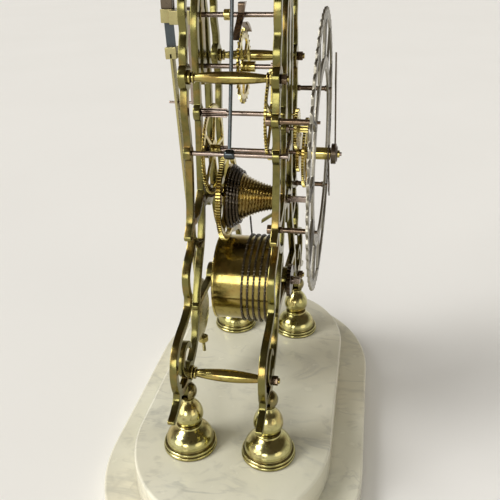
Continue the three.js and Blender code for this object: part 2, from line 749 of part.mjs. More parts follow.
function makePillars() {
  const nutBack = -PLATE_OUTER - SEAT;
  const nutBore = boreNgon(STUD_R + SEAT, HOLE_SIDES);
  const nut = upright(ngon(NUT_R, NUT_SIDES), nutBack - NUT_T, nutBack, [nutBore]);
  for (const [sideName, side] of [['left', -1], ['right', 1]]) {
    for (const [level, x, z, r] of [
      ['upper', UPPER_PILLAR_X, UPPER_PILLAR_Z, UPPER_PILLAR_R],
      ['lower', LOWER_PILLAR_X, LOWER_PILLAR_Z, LOWER_PILLAR_R],
    ]) {
      place(clock, `pillar_${level}_${sideName}`, pillarBody(r), 'brass').position.set(side * x, 0, z);
      place(clock, `pillar_nut_${level}_${sideName}`, nut, 'darkSteel').position.set(side * x, 0, z);
    }
  }
}

// Wheelwork. Tooth shares run over one pitch: place round the rim, then height from root to tip
const WHEEL_TOOTH_SHARES = [[-0.5, 0], [0, 1]];
const LEAF_SHARES = [[-0.22, 0], [-0.09, 1], [0.09, 1], [0.22, 0]];
const ESCAPE_TOOTH_SHARES = [[-0.46, 0], [0, 1], [0.14, 0]];
const RATCHET_SHARES = [[-0.9, 0], [0, 1]];

function toothed(count, rootR, tipR, toothShares) {
  const points = [];
  for (let i = 0; i < count; i += 1) {
    for (const [at, height] of toothShares) {
      points.push(around(rootR + (tipR - rootR) * height, (fullTurn * (i + at)) / count));
    }
  }
  return points;
}

function crossings(hubR, rimR) {
  const pitch = fullTurn / SPOKES;
  const arc = (r, i, steps) => {
    const margin = THREE.MathUtils.radToDeg(Math.asin(SPOKE_HALF / r));
    return Array.from({ length: steps + 1 }, (_, k) =>
      around(r, i * pitch + margin + ((pitch - 2 * margin) * k) / steps));
  };
  return Array.from({ length: SPOKES }, (_, i) =>
    [...arc(rimR, i, RIM_ARC_STEPS), ...arc(hubR, i, HUB_ARC_STEPS).reverse()]);
}

function wheel(teeth, module, front, thickness, boreR, windows = []) {
  const r = pitchR(teeth, module);
  const rootR = r - WHEEL_ROOT_SHARE * module;
  const outline = toothed(teeth, rootR, r + WHEEL_TIP_SHARE * module, WHEEL_TOOTH_SHARES);
  return upright(outline, front, front + thickness, [boreNgon(boreR, ARBOR_SIDES), ...windows]);
}

// A wheel's windows, from its hub out to its rim
function windowsOf(teeth, module, hubR) {
  return crossings(hubR, pitchR(teeth, module) - WHEEL_ROOT_SHARE * module - RIM_T);
}

function pinion(leaves, module, front, back) {
  const r = pitchR(leaves, module);
  const outline = toothed(leaves, r - LEAF_ROOT_SHARE * module, r + LEAF_TIP_SHARE * module, LEAF_SHARES);
  return upright(outline, front, back);
}

// Where a tooth of the second wheel must stand, with the first wheel's tooth at a given angle
function meshed(from, to, fromTeeth, toTeeth, fromPhase) {
  const line = THREE.MathUtils.radToDeg(Math.atan2(to[1] - from[1], to[0] - from[0]));
  return line + halfTurn - ((fromPhase - line) * fromTeeth) / toTeeth + halfTurn / toTeeth;
}

const turnTo = (mesh, degrees) => {
  mesh.rotation.y = -radians(degrees);
};

const CENTRE_PHASE = 0;
const GREAT_PHASE = meshed(centreAt, fuseeAt, CENTRE_LEAVES, GREAT_TEETH, CENTRE_PHASE);
const THIRD_PHASE = meshed(centreAt, thirdAt, CENTRE_TEETH, THIRD_LEAVES, CENTRE_PHASE);
const NIB_ANGLE = (NIB_SPAN_TEETH * halfTurn) / ESCAPE_TEETH;
const ESCAPE_PHASE = quarterTurn - NIB_ANGLE + halfTurn / ESCAPE_TEETH;
const ESCAPE_PINION_PHASE = meshed(thirdAt, escapeAt, THIRD_TEETH, ESCAPE_LEAVES, THIRD_PHASE);
const MINUTE_PHASE = meshed(centreAt, minuteAt, MOTION_TEETH, MOTION_TEETH, CENTRE_PHASE);
const HOUR_PHASE = meshed(minuteAt, centreAt, MINUTE_LEAVES, HOUR_TEETH, MINUTE_PHASE);

const arborBore = ARBOR_R + SEAT;
const pivotFront = -PLATE_OUTER + PIVOT_INSET;
const pivotBack = PLATE_OUTER - PIVOT_INSET;
const shoulder = PLATE_INNER - RUN;

function makeCentre() {
  const group = axisGroup(0, 0, CENTRE_Z);
  const arbor = spindle([
    [CENTRE_NOSE_FRONT, CENTRE_NOSE_R],
    [-shoulder, ARBOR_R],
    [shoulder, PIVOT_R],
  ], pivotBack);
  const leaves = pinion(CENTRE_LEAVES, GREAT_MODULE, GREAT_FRONT - RUN, CENTRE_PINION_BACK);
  turnTo(place(group, 'centre_arbor', arbor.add(leaves), 'steel'), CENTRE_PHASE);
  const windows = windowsOf(CENTRE_TEETH, CENTRE_MODULE, 2 * COLLET_R);
  const web = wheel(CENTRE_TEETH, CENTRE_MODULE, CENTRE_WHEEL_FRONT, WHEEL_T, ARBOR_R + SEAT, windows);
  const collet = tube(CENTRE_PINION_BACK + SEAT, CENTRE_WHEEL_FRONT, COLLET_R, arborBore);
  turnTo(place(group, 'centre_wheel', web.add(collet), 'brass'), CENTRE_PHASE);
}

function makeThird() {
  const group = axisGroup(THIRD_X, 0, THIRD_Z);
  const arbor = spindle([[pivotFront, PIVOT_R], [-shoulder, ARBOR_R], [shoulder, PIVOT_R]], pivotBack);
  const leaves = pinion(THIRD_LEAVES, CENTRE_MODULE, PINION_FRONT, shoulder - RUN);
  turnTo(place(group, 'third_arbor', arbor.add(leaves), 'steel'), THIRD_PHASE);
  const windows = windowsOf(THIRD_TEETH, THIRD_MODULE, 2 * COLLET_R);
  const web = wheel(THIRD_TEETH, THIRD_MODULE, THIRD_WHEEL_FRONT, WHEEL_T, ARBOR_R + SEAT, windows);
  const colletFront = THIRD_WHEEL_FRONT + WHEEL_T;
  const collet = tube(colletFront, colletFront + COLLET_R, COLLET_R, arborBore);
  turnTo(place(group, 'third_wheel', web.add(collet), 'brass'), THIRD_PHASE);
}

function makeEscape() {
  const group = axisGroup(0, 0, ESCAPE_Z);
  const arbor = spindle([[pivotFront, PIVOT_R], [-shoulder, ARBOR_R], [shoulder, PIVOT_R]], pivotBack);
  const leaves = pinion(ESCAPE_LEAVES, THIRD_MODULE, ESCAPE_PINION_FRONT, ESCAPE_PINION_BACK);
  turnTo(place(group, 'escape_arbor', arbor.add(leaves), 'steel'), ESCAPE_PINION_PHASE);
  const rootR = ESCAPE_R - ESCAPE_TOOTH;
  const outline = toothed(ESCAPE_TEETH, rootR, ESCAPE_R, ESCAPE_TOOTH_SHARES);
  const holes = [boreNgon(ARBOR_R + SEAT, ARBOR_SIDES), ...crossings(2 * COLLET_R, rootR - RIM_T)];
  const web = upright(outline, ESCAPE_WHEEL_FRONT, ESCAPE_WHEEL_FRONT + WHEEL_T, holes);
  const collet = tube(ESCAPE_WHEEL_FRONT - 2 * COLLET_R, ESCAPE_WHEEL_FRONT, COLLET_R, arborBore);
  turnTo(place(group, 'escape_wheel', web.add(collet), 'brass'), ESCAPE_PHASE);
}

// Fusee: a hollow-sided cone with its grooves, the great wheel running free behind it
const fuseeR = (y) => {
  const t = THREE.MathUtils.clamp((FUSEE_BACK - y) / (FUSEE_BACK - FUSEE_FRONT), 0, 1);
  return FUSEE_SMALL_R + (FUSEE_BIG_R - FUSEE_SMALL_R) * (1 - t) ** FUSEE_CURVE;
};

function makeFusee() {
  const group = axisGroup(0, 0, FUSEE_Z);
  const boreR = boreCorner(HEAVY_ARBOR_R + SEAT, FUSEE_SIDES);
  const pitch = (FUSEE_BACK - FUSEE_FRONT) / FUSEE_GROOVES;
  const profile = [[boreR, FUSEE_FRONT]];
  for (let i = 0; i < FUSEE_GROOVES; i += 1) {
    const crest = FUSEE_FRONT + i * pitch;
    const root = crest + pitch / 2;
    profile.push([fuseeR(crest), crest], [fuseeR(root) - GROOVE_DEPTH, root]);
  }
  profile.push([fuseeR(FUSEE_BACK), FUSEE_BACK], [boreR, FUSEE_BACK], [boreR, FUSEE_FRONT]);
  place(group, 'fusee_cone', turnedY(profile, FUSEE_SIDES), 'brass');

  const square = box(-FUSEE_SQUARE_HALF, FUSEE_SQUARE_HALF, FUSEE_SQUARE_FRONT, -PLATE_OUTER,
    -FUSEE_SQUARE_HALF, FUSEE_SQUARE_HALF);
  const arbor = spindle([
    [-PLATE_OUTER - COLLAR_T, HEAVY_ARBOR_R],
    [-shoulder, HEAVY_ARBOR_R + COLLAR_T],
    [FUSEE_FRONT - SEAT, HEAVY_ARBOR_R],
    [GREAT_FRONT + GREAT_T + RUN, FUSEE_BOSS_R],
    [FUSEE_BOSS_BACK, HEAVY_PIVOT_R],
  ], pivotBack);
  place(group, 'fusee_arbor', arbor.add(square), 'steel');

  const windows = windowsOf(GREAT_TEETH, GREAT_MODULE, FUSEE_BOSS_R + RIM_T);
  const great = wheel(GREAT_TEETH, GREAT_MODULE, GREAT_FRONT, GREAT_T, HEAVY_ARBOR_R + RUN, windows);
  turnTo(place(group, 'great_wheel', great, 'brass'), GREAT_PHASE);
}

// Chain: wound over the fusee's wide end, straight down to the barrel, and round it.
// Each station is the tube's middle point and the direction straight out from its drum
const chainLine = (() => {
  const over = CHAIN_R + CHAIN_FLOAT;
  const fuseeEnd = fuseeR(CHAIN_FUSEE_FRONT) + over;
  const barrelR = BARREL_R + over;
  const leaving = THREE.MathUtils.radToDeg(Math.asin((barrelR - fuseeEnd) / BARREL_DROP));
  const stations = [];
  const corner = 1 / Math.cos(Math.PI / CHAIN_STEPS);
  const add = (r, degrees, y, drumZ) => {
    const spoke = around(1, degrees);
    const out = new THREE.Vector3(spoke.x, 0, spoke.y);
    stations.push({ at: new THREE.Vector3(r * out.x, y, drumZ + r * out.z), out });
  };
  const wrap = (turns, backY, frontY, radius, drumZ, start) => {
    const steps = turns * CHAIN_STEPS;
    for (let i = 0; i <= steps; i += 1) {
      const y = backY + ((frontY - backY) * i) / steps;
      add(radius(y) * corner, start - (fullTurn * i) / CHAIN_STEPS, y, drumZ);
    }
  };
  wrap(CHAIN_FUSEE_TURNS, CHAIN_FUSEE_BACK, CHAIN_FUSEE_FRONT, (y) => fuseeR(y) + over, FUSEE_Z, leaving);
  wrap(CHAIN_BARREL_TURNS, CHAIN_BARREL_BACK, CHAIN_BARREL_FRONT, () => barrelR, BARREL_Z, leaving);
  return stations;
})();

// Both ends run straight for one diameter
function withStraightEnds(stations) {
  const first = stations[0];
  const last = stations[stations.length - 1];
  const along = (from, to) => to.at.clone().sub(from.at).normalize().multiplyScalar(2 * CHAIN_R);
  const start = { at: first.at.clone().add(along(stations[1], first)), out: first.out };
  const end = { at: last.at.clone().add(along(stations[stations.length - 2], last)), out: last.out };
  return [start, ...stations, end];
}

function chainBody() {
  const axis = new THREE.Vector3(0, 1, 0);
  const rings = withStraightEnds(chainLine).map(({ at, out }) =>
    Array.from({ length: CHAIN_SIDES }, (_, j) => {
      const turn = (2 * Math.PI * j) / CHAIN_SIDES;
      return at.clone()
        .addScaledVector(out, CHAIN_R * Math.cos(turn))
        .addScaledVector(axis, CHAIN_R * Math.sin(turn));
    }));
  return skin(rings);
}

// The least gap between the chain's own surfaces, over stations more than a quarter turn apart
function chainGap() {
  const apart = Math.ceil((CHAIN_STEPS * quarterTurn) / fullTurn);
  let least = Infinity;
  chainLine.forEach((a, i) => {
    for (let j = i + apart; j < chainLine.length; j += 1) {
      least = Math.min(least, a.at.distanceTo(chainLine[j].at) - 2 * CHAIN_R);
    }
  });
  return least;
}

function makeChain() {
  place(clock, 'fusee_chain', chainBody(), 'darkSteel');
  console.log(`chain gap to itself ${chainGap().toFixed(2)} mm, least allowed ${CHAIN_GAP_LEAST} mm`);
}

// Spring barrel: drum with a front flange, a cap let into its back, the arbor and the mainspring
function makeBarrel() {
  const group = axisGroup(0, 0, BARREL_Z);
  const inside = BARREL_R - BARREL_WALL;
  const drumBore = boreCorner(HEAVY_ARBOR_R + RUN, BARREL_SIDES);
  const drum = turnedY([
    [drumBore, BARREL_FRONT],
    [BARREL_R + BARREL_LIP, BARREL_FRONT],
    [BARREL_R + BARREL_LIP, BARREL_FRONT + BARREL_FLANGE_T],
    [BARREL_R, BARREL_FRONT + BARREL_FLANGE_T],
    [BARREL_R, BARREL_BACK - BARREL_FLANGE_T],
    [BARREL_R + BARREL_RIM, BARREL_BACK - BARREL_FLANGE_T],
    [BARREL_R + BARREL_RIM, BARREL_BACK],
    [inside, BARREL_BACK],
    [inside, BARREL_FRONT + BARREL_WALL],
    [drumBore, BARREL_FRONT + BARREL_WALL],
    [drumBore, BARREL_FRONT],
  ], BARREL_SIDES);
  place(group, 'barrel_drum', drum, 'brass');
  const capR = inside - SEAT;
  const cap = tube(BARREL_BACK - BARREL_CAP_T, BARREL_BACK, capR, HEAVY_ARBOR_R + RUN, BARREL_SIDES);
  place(group, 'barrel_cap', cap, 'brass');

  const coreFront = BARREL_FRONT + BARREL_WALL + BARREL_CORE_GAP;
  const coreBack = BARREL_BACK - BARREL_CAP_T - BARREL_CORE_GAP;
  const arbor = spindle([
    [-PLATE_OUTER - RATCHET_T - COLLAR_T, HEAVY_ARBOR_R],
    [coreFront, BARREL_CORE_R],
    [coreBack, HEAVY_ARBOR_R],
    [shoulder, HEAVY_PIVOT_R],
  ], pivotBack);
  const square = box(-BARREL_SQUARE_HALF, BARREL_SQUARE_HALF, BARREL_SQUARE_FRONT, -PLATE_OUTER,
    -BARREL_SQUARE_HALF, BARREL_SQUARE_HALF);
  place(group, 'barrel_arbor', arbor.add(square), 'steel');

  const springIn = BARREL_CORE_R + TURNED_GAP + MAINSPRING_T;
  const springOut = inside * Math.cos(Math.PI / BARREL_SIDES) - TURNED_GAP - 2 * MAINSPRING_T;
  const steps = MAINSPRING_TURNS * MAINSPRING_STEPS;
  const rings = Array.from({ length: steps + 1 }, (_, i) => {
    const middle = springIn + ((springOut - springIn) * i) / steps;
    const corners = [
      [middle - MAINSPRING_T / 2, coreFront],
      [middle + MAINSPRING_T / 2, coreFront],
      [middle + MAINSPRING_T / 2, coreBack],
      [middle - MAINSPRING_T / 2, coreBack],
    ];
    return corners.map(([r, y]) => {
      const spoke = around(r, (fullTurn * i) / MAINSPRING_STEPS);
      return new THREE.Vector3(spoke.x, y, spoke.y);
    });
  });
  place(group, 'mainspring', skin(rings), 'blueSteel');

  const ratchetBack = -PLATE_OUTER - SEAT;
  const ratchetFront = ratchetBack - RATCHET_T;
  const outline = toothed(RATCHET_TEETH, RATCHET_R - RATCHET_TOOTH, RATCHET_R, RATCHET_SHARES);
  const ratchet = upright(outline, ratchetFront, ratchetBack, [boreNgon(HEAVY_ARBOR_R + SEAT, ARBOR_SIDES)]);
  place(group, 'barrel_ratchet', ratchet, 'darkSteel');

  const click = axisGroup(CLICK_X, 0, BARREL_Z);
  const reach = CLICK_X - RATCHET_R - TURNED_GAP;
  const clickEye = upright(ngon(CLICK_R, ARBOR_SIDES), ratchetFront, ratchetBack);
  const clickArm = upright([
    new THREE.Vector2(-reach, -CLICK_TIP_HALF),
    new THREE.Vector2(0, -CLICK_R / 2),
    new THREE.Vector2(0, CLICK_R / 2),
    new THREE.Vector2(-reach, CLICK_TIP_HALF),
  ], ratchetFront, ratchetBack);
  place(click, 'barrel_click', clickEye.add(clickArm), 'darkSteel');
}

// Stop iron and its block, behind the front frame under the fusee
function makeStop() {
  const blockBack = -PLATE_INNER + SEAT + STOP_BLOCK_T;
  const block = box(-STOP_BLOCK_HALF, STOP_BLOCK_HALF, -PLATE_INNER + SEAT, blockBack,
    STOP_TOP_Z - STOP_BLOCK_H, STOP_TOP_Z);
  place(clock, 'stop_block', block, 'brass');
  const group = axisGroup(0, blockBack, STOP_TOP_Z);
  const side = (x) => [
    new THREE.Vector3(x, SEAT, 0),
    new THREE.Vector3(x, SEAT, -STOP_LEVER_T),
    new THREE.Vector3(x, STOP_LEVER_REACH, -STOP_LEVER_FALL - STOP_LEVER_T),
    new THREE.Vector3(x, STOP_LEVER_REACH, -STOP_LEVER_FALL),
  ];
  place(group, 'stop_iron', skin([side(-STOP_LEVER_HALF), side(STOP_LEVER_HALF)]), 'darkSteel');
}

// Anchor and its arbor, with the crutch that leads the pendulum
function anchorBody() {
  const wheelDrop = -PALLET_DISTANCE;
  const inner = ESCAPE_R + ANCHOR_IN;
  const outer = inner + ANCHOR_BAND;
  const spread = NIB_ANGLE + THREE.MathUtils.radToDeg(NIB_HALF / inner);
  const arc = (r) => Array.from({ length: ANCHOR_STEPS + 1 }, (_, i) =>
    around(r, quarterTurn - spread + (2 * spread * i) / ANCHOR_STEPS, 0, wheelDrop));
  const [front, back] = [-ANCHOR_T / 2, ANCHOR_T / 2];
  const band = upright([...arc(outer), ...arc(inner).reverse()], front, back);
  const half = ANCHOR_BLOCK_HALF;
  const block = box(-half, half, front, back, -half / 2, ANCHOR_BLOCK_TOP);
  const nibs = [-1, 1].map((side) => {
    const nib = [-NIB_HALF, NIB_HALF].flatMap((half) => {
      const radial = [ESCAPE_R + NIB_GAP, inner + OVERRUN];
      return (half < 0 ? radial : radial.reverse()).map((r) =>
        around(r, quarterTurn - side * NIB_ANGLE + THREE.MathUtils.radToDeg(half / ESCAPE_R), 0, wheelDrop));
    });
    return upright(nib, front, back);
  });
  const boreCut = upright(boreNgon(ARBOR_R + SEAT, ARBOR_SIDES), front - OVERRUN, back + OVERRUN);
  return unite([band, block, ...nibs]).subtract(boreCut);
}

function makePallets() {
  const group = axisGroup(0, 0, PALLET_Z);
  const arbor = spindle([
    [pivotFront, PIVOT_R],
    [-shoulder, ARBOR_R],
    [PALLET_COLLET_FRONT, COLLET_R],
    [PALLET_COLLET_BACK, ARBOR_R],
    [COCK_FRONT - RUN, PIVOT_R],
  ], COCK_BACK - PIVOT_INSET);
  place(group, 'pallet_arbor', arbor, 'steel');
  place(group, 'pallets', anchorBody(), 'steel');

  const hubBack = CRUTCH_Y + CRUTCH_T / 2;
  const hubFront = CRUTCH_Y - CRUTCH_T / 2;
  const hub = upright(ngon(CRUTCH_HUB_R, EYE_SIDES), hubFront, hubBack);
  const rod = box(-CRUTCH_HALF, CRUTCH_HALF, hubFront, hubBack, -CRUTCH_DROP - CRUTCH_HALF, 0);
  const pin = turnedY([[0, CRUTCH_Y], [CRUTCH_PIN_R, CRUTCH_Y], [CRUTCH_PIN_R, CRUTCH_PIN_BACK],
    [0, CRUTCH_PIN_BACK]], ARBOR_SIDES).translate([0, 0, -CRUTCH_DROP]);
  const boreCut = upright(boreNgon(ARBOR_R + SEAT, ARBOR_SIDES), hubFront - OVERRUN, hubBack + OVERRUN);
  place(group, 'crutch', unite([hub, rod, pin]).subtract(boreCut), 'steel');
}

// Back cock on the rear frame, the suspension block standing on its forked arm
function makeCock() {
  const bottom = PALLET_Z - COCK_BELOW;
  const top = PALLET_Z + COCK_ABOVE;
  const legReach = COCK_LEG_X + COCK_LEG_HALF;
  const legs = [-1, 1].map((side) => box(side * COCK_LEG_X - COCK_LEG_HALF, side * COCK_LEG_X + COCK_LEG_HALF,
    PLATE_OUTER + SEAT, COCK_BACK, bottom, top));
  const cross = box(-legReach, legReach, COCK_FRONT, COCK_BACK, bottom, top);
  const arm = box(-COCK_ARM_HALF, COCK_ARM_HALF, COCK_FRONT, COCK_ARM_BACK, bottom, top);
  const slot = box(-COCK_SLOT_HALF, COCK_SLOT_HALF, BLOCK_FRONT, COCK_ARM_BACK + OVERRUN,
    bottom - OVERRUN, top + OVERRUN);
  const pivotHole = drill(0, PALLET_Z, PIVOT_R + RUN, COCK_FRONT, BLOCK_FRONT - OVERRUN);
  place(clock, 'back_cock', cutAll(unite([cross, arm, ...legs]), [slot, pivotHole]), 'brass');

  const blockSlotHalf = SPRING_T / 2 + TURNED_GAP;
  const foot = top + SEAT;
  const block = box(-BLOCK_HALF, BLOCK_HALF, BLOCK_FRONT, COCK_ARM_BACK, foot, foot + BLOCK_H);
  const blockSlot = box(-blockSlotHalf, blockSlotHalf, BLOCK_FRONT - OVERRUN, COCK_ARM_BACK + OVERRUN,
    foot - OVERRUN, foot + BLOCK_SLOT_H);
  place(clock, 'suspension_block', block.subtract(blockSlot), 'darkSteel');
}

// Pendulum, leaning a little towards the frame. Heights here are drops below the bend of its spring
const LENS_SHARES = [[0, -1], [0.6, -0.72], [1, -0.12], [1, 0.12], [0.6, 0.72], [0, 1]];

function makePendulum() {
  const group = axisGroup(0, PENDULUM_Y, PALLET_Z);
  group.rotation.x = -radians(PENDULUM_LEAN);
  const spring = box(-SPRING_T / 2, SPRING_T / 2, -SPRING_W / 2, SPRING_W / 2, -SPRING_END, SPRING_TOP);
  place(group, 'suspension_spring', spring, 'blueSteel');

  const chopSlot = box(-SPRING_T / 2 - SEAT, SPRING_T / 2 + SEAT, -SPRING_W / 2 - SEAT, SPRING_W / 2 + SEAT,
    -SPRING_END - SEAT, -CHOP_TOP + OVERRUN);
  const chop = box(-ROD_W / 2, ROD_W / 2, -CHOP_T, CHOP_T, -CHOP_TOP - CHOP_H, -CHOP_TOP);
  const strip = box(-ROD_W / 2, ROD_W / 2, -ROD_T / 2, ROD_T / 2, -ROD_STRIP_END, -CHOP_TOP - CHOP_H / 2);
  const thread = turnedZ([[0, -ROD_END], [THREAD_R, -ROD_END], [THREAD_R, -ROD_STRIP_END + OVERRUN],
    [0, -ROD_STRIP_END + OVERRUN]], ARBOR_SIDES);
  const slot = box(-ROD_SLOT_HALF, ROD_SLOT_HALF, -ROD_T, ROD_T, -CRUTCH_DROP - ROD_SLOT_H / 2,
    -CRUTCH_DROP + ROD_SLOT_H / 2);
  place(group, 'pendulum_rod', cutAll(unite([chop, strip, thread]), [chopSlot, slot]), 'brass');

  const half = BOB_T / 2;
  const lens = LENS_SHARES.map(([r, y]) => [r * BOB_R, y * half]);
  const throughHalf = Math.max(ROD_T / 2, THREAD_R) + TURNED_GAP;
  const through = box(-ROD_W / 2 - TURNED_GAP, ROD_W / 2 + TURNED_GAP, -throughHalf, throughHalf,
    -BOB_R - OVERRUN, BOB_R + OVERRUN);
  place(group, 'pendulum_bob', turnedY(lens, BOB_SIDES).subtract(through), 'brass').position.z = -BOB_DROP;

  const nutTop = -BOB_DROP - BOB_R - TURNED_GAP;
  const nutBore = boreCorner(THREAD_R + TURNED_GAP);
  const nutFoot = nutTop - RATING_NUT_T;
  const nut = turnedZ([[nutBore, nutFoot], [RATING_NUT_R, nutFoot], [RATING_NUT_R, nutTop],
    [nutBore, nutTop], [nutBore, nutFoot]], ARBOR_SIDES);
  place(group, 'rating_nut', nut, 'brass');
}

// Motion work in front of the front frame
function makeMotionWork() {
  const centre = axisGroup(0, 0, CENTRE_Z);
  const cannonWheel = wheel(MOTION_TEETH, MOTION_MODULE, MOTION_FRONT, MOTION_T, CANNON_BORE);
  const cannonPipe = tube(CANNON_FRONT, MOTION_FRONT + MOTION_T, CANNON_R, CANNON_BORE);
  turnTo(place(centre, 'cannon_wheel', cannonWheel.add(cannonPipe), 'brass'), CENTRE_PHASE);

  const windows = windowsOf(HOUR_TEETH, HOUR_MODULE, 2 * COLLET_R);
  const hourWheel = wheel(HOUR_TEETH, HOUR_MODULE, HOUR_WHEEL_FRONT, MOTION_T, HOUR_PIPE_BORE, windows);
  const hourPipe = tube(HOUR_PIPE_FRONT, HOUR_WHEEL_FRONT + MOTION_T, HOUR_PIPE_R, HOUR_PIPE_BORE);
  turnTo(place(centre, 'hour_wheel', hourWheel.add(hourPipe), 'brass'), HOUR_PHASE);

  const minute = axisGroup(MINUTE_POST_X, 0, MINUTE_POST_Z);
  const post = spindle([
    [MINUTE_POST_FRONT, MINUTE_POST_R],
    [-PLATE_OUTER - COLLAR_T, MINUTE_POST_R + COLLAR_T],
  ], -PLATE_OUTER - SEAT);
  place(minute, 'minute_post', post, 'steel');
  const postBore = MINUTE_POST_R + RUN;
  const web = wheel(MOTION_TEETH, MOTION_MODULE, MOTION_FRONT, MOTION_T, postBore);
  const leaves = pinion(MINUTE_LEAVES, HOUR_MODULE, MINUTE_PINION_FRONT, MOTION_FRONT);
  const boreCut = drill(0, 0, postBore, MINUTE_PINION_FRONT, MOTION_FRONT);
  const pin = turnedY([[0, MOTION_FRONT + MOTION_T / 2], [STRIKE_PIN_R, MOTION_FRONT + MOTION_T / 2],
    [STRIKE_PIN_R, STRIKE_PIN_BACK], [0, STRIKE_PIN_BACK]], ARBOR_SIDES).translate([STRIKE_PIN_RING, 0, 0]);
  turnTo(place(minute, 'minute_wheel', unite([web, leaves, pin]).subtract(boreCut), 'brass'), MINUTE_PHASE);
}

// A hand pointing up: a slim blade that swells to a leaf near its end. Half-widths at shares of its length
const HAND_BLADE_SHARES = [[HAND_WAIST_HALF, 0.62], [HAND_SPADE_HALF, 0.78], [HAND_WAIST_HALF, 0.9]];

function handBlade(length, bossR, boreR, front) {
  const side = [
    [HAND_ROOT_HALF, bossR * HAND_ROOT_SHARE],
    ...HAND_BLADE_SHARES.map(([half, share]) => [half, share * length]),
  ];
  const left = side.map(([x, z]) => new THREE.Vector2(-x, z)).reverse();
  const right = side.map(([x, z]) => new THREE.Vector2(x, z));
  const blade = upright([...right, new THREE.Vector2(0, length), ...left], front, front + HAND_T);
  const boss = upright(ngon(bossR, EYE_SIDES), front, front + HAND_T);
  const boreCut = upright(boreNgon(boreR, ARBOR_SIDES), front - OVERRUN, front + HAND_T + OVERRUN);
  return blade.add(boss).subtract(boreCut);
}

function makeHands() {
  const centre = axisGroup(0, 0, CENTRE_Z);
  const hour = handBlade(HOUR_HAND_L, HAND_BOSS_R, HOUR_PIPE_R + SEAT, HOUR_HAND_FRONT);
  turnTo(place(centre, 'hour_hand', hour, 'darkSteel'), -HOUR_HAND_ANGLE);
  const minute = handBlade(MINUTE_HAND_L, HAND_BOSS_R, CANNON_R + SEAT, MINUTE_HAND_FRONT);
  const collet = tube(MINUTE_COLLET_FRONT, MINUTE_COLLET_BACK, MINUTE_COLLET_R, CANNON_R + SEAT, EYE_SIDES);
  turnTo(place(centre, 'minute_hand', minute.add(collet), 'darkSteel'), -MINUTE_HAND_ANGLE);
}

// Pierced dial: two bands joined by roman numerals whose bars point at the middle
const NUMERALS = ['XII', 'I', 'II', 'III', 'IIII', 'V', 'VI', 'VII', 'VIII', 'IX', 'X', 'XI'];

function numeralBars(text, z0, z1) {
  const total = text.length;
  return [...text].flatMap((letter, k) => {
    const x = (k - (total - 1) / 2) * NUMERAL_PITCH;
    const wide = NUMERAL_PITCH / 2 - NUMERAL_THIN / 2;
    const bar = (x0, x1, half) => upright([
      new THREE.Vector2(x0 - half, z0), new THREE.Vector2(x0 + half, z0),
      new THREE.Vector2(x1 + half, z1), new THREE.Vector2(x1 - half, z1),
    ], DIAL_FRONT, DIAL_FRONT + DIAL_T);
    if (letter === 'I') return [bar(x, x, NUMERAL_BAR / 2)];
    if (letter === 'V') return [bar(x, x - wide, NUMERAL_BAR / 2), bar(x, x + wide, NUMERAL_THIN / 2)];
    return [bar(x + wide, x - wide, NUMERAL_BAR / 2), bar(x - wide, x + wide, NUMERAL_THIN / 2)];
  });
}

function makeDial() {
  const group = axisGroup(0, 0, CENTRE_Z);
  const back = DIAL_FRONT + DIAL_T;
  const lobes = toothed(DIAL_LOBES, DIAL_R, DIAL_R + DIAL_LOBE, WHEEL_TOOTH_SHARES);
  const bandR = DIAL_R - DIAL_OUTER_BAND;
  const outer = upright(lobes, DIAL_FRONT, back, [ngon(bandR, DIAL_STEPS)]);
  const innerR = DIAL_INNER_R + DIAL_INNER_BAND;
  const inner = upright(ngon(innerR, DIAL_STEPS), DIAL_FRONT, back, [ngon(DIAL_INNER_R, DIAL_STEPS)]);
  const bars = NUMERALS.flatMap((text, hour) =>
    numeralBars(text, innerR - NUMERAL_LAP, bandR + NUMERAL_LAP)
      .map((bar) => bar.rotate([0, (fullTurn * hour) / NUMERALS.length, 0])));
  const pinHoles = dialPosts.map(({ x, z }) => drill(x, z - CENTRE_Z, POST_PIN_R + SEAT, DIAL_FRONT, back));
  const ring = unite([outer, inner, ...bars]).asOriginal().simplify(OUTLINE_WITHIN);
  place(group, 'chapter_ring', cutAll(ring, pinHoles), 'silvered');

  const postBack = -PLATE_INNER + SEAT + POST_NUT_T;
  const post = spindle([
    [POST_FRONT, POST_PIN_R],
    [back + SEAT, POST_R],
    [-PLATE_OUTER - SEAT, POST_STUD_R],
    [-PLATE_INNER + SEAT, POST_NUT_R],
  ], postBack, HOLE_SIDES);
  for (const { side, x, z, level } of dialPosts) {
    const name = `dial_post_${level}_${side < 0 ? 'left' : 'right'}`;
    place(clock, name, post, 'brass').position.set(x, 0, z);
  }
}

// Passing strike: hammer on its own arbor, bell on a bracket behind the rear frame.
// The bell's shares run from its crown down to its rim
const BELL_SHARES = [[0.36, 1], [0.72, 0.84], [0.9, 0.4], [1, 0]];
const STEM_SHARES = [[0, 0.03], [0.25, 0.28], [0.48, 0.55], [0.66, 0.82], [0.5, 1]];

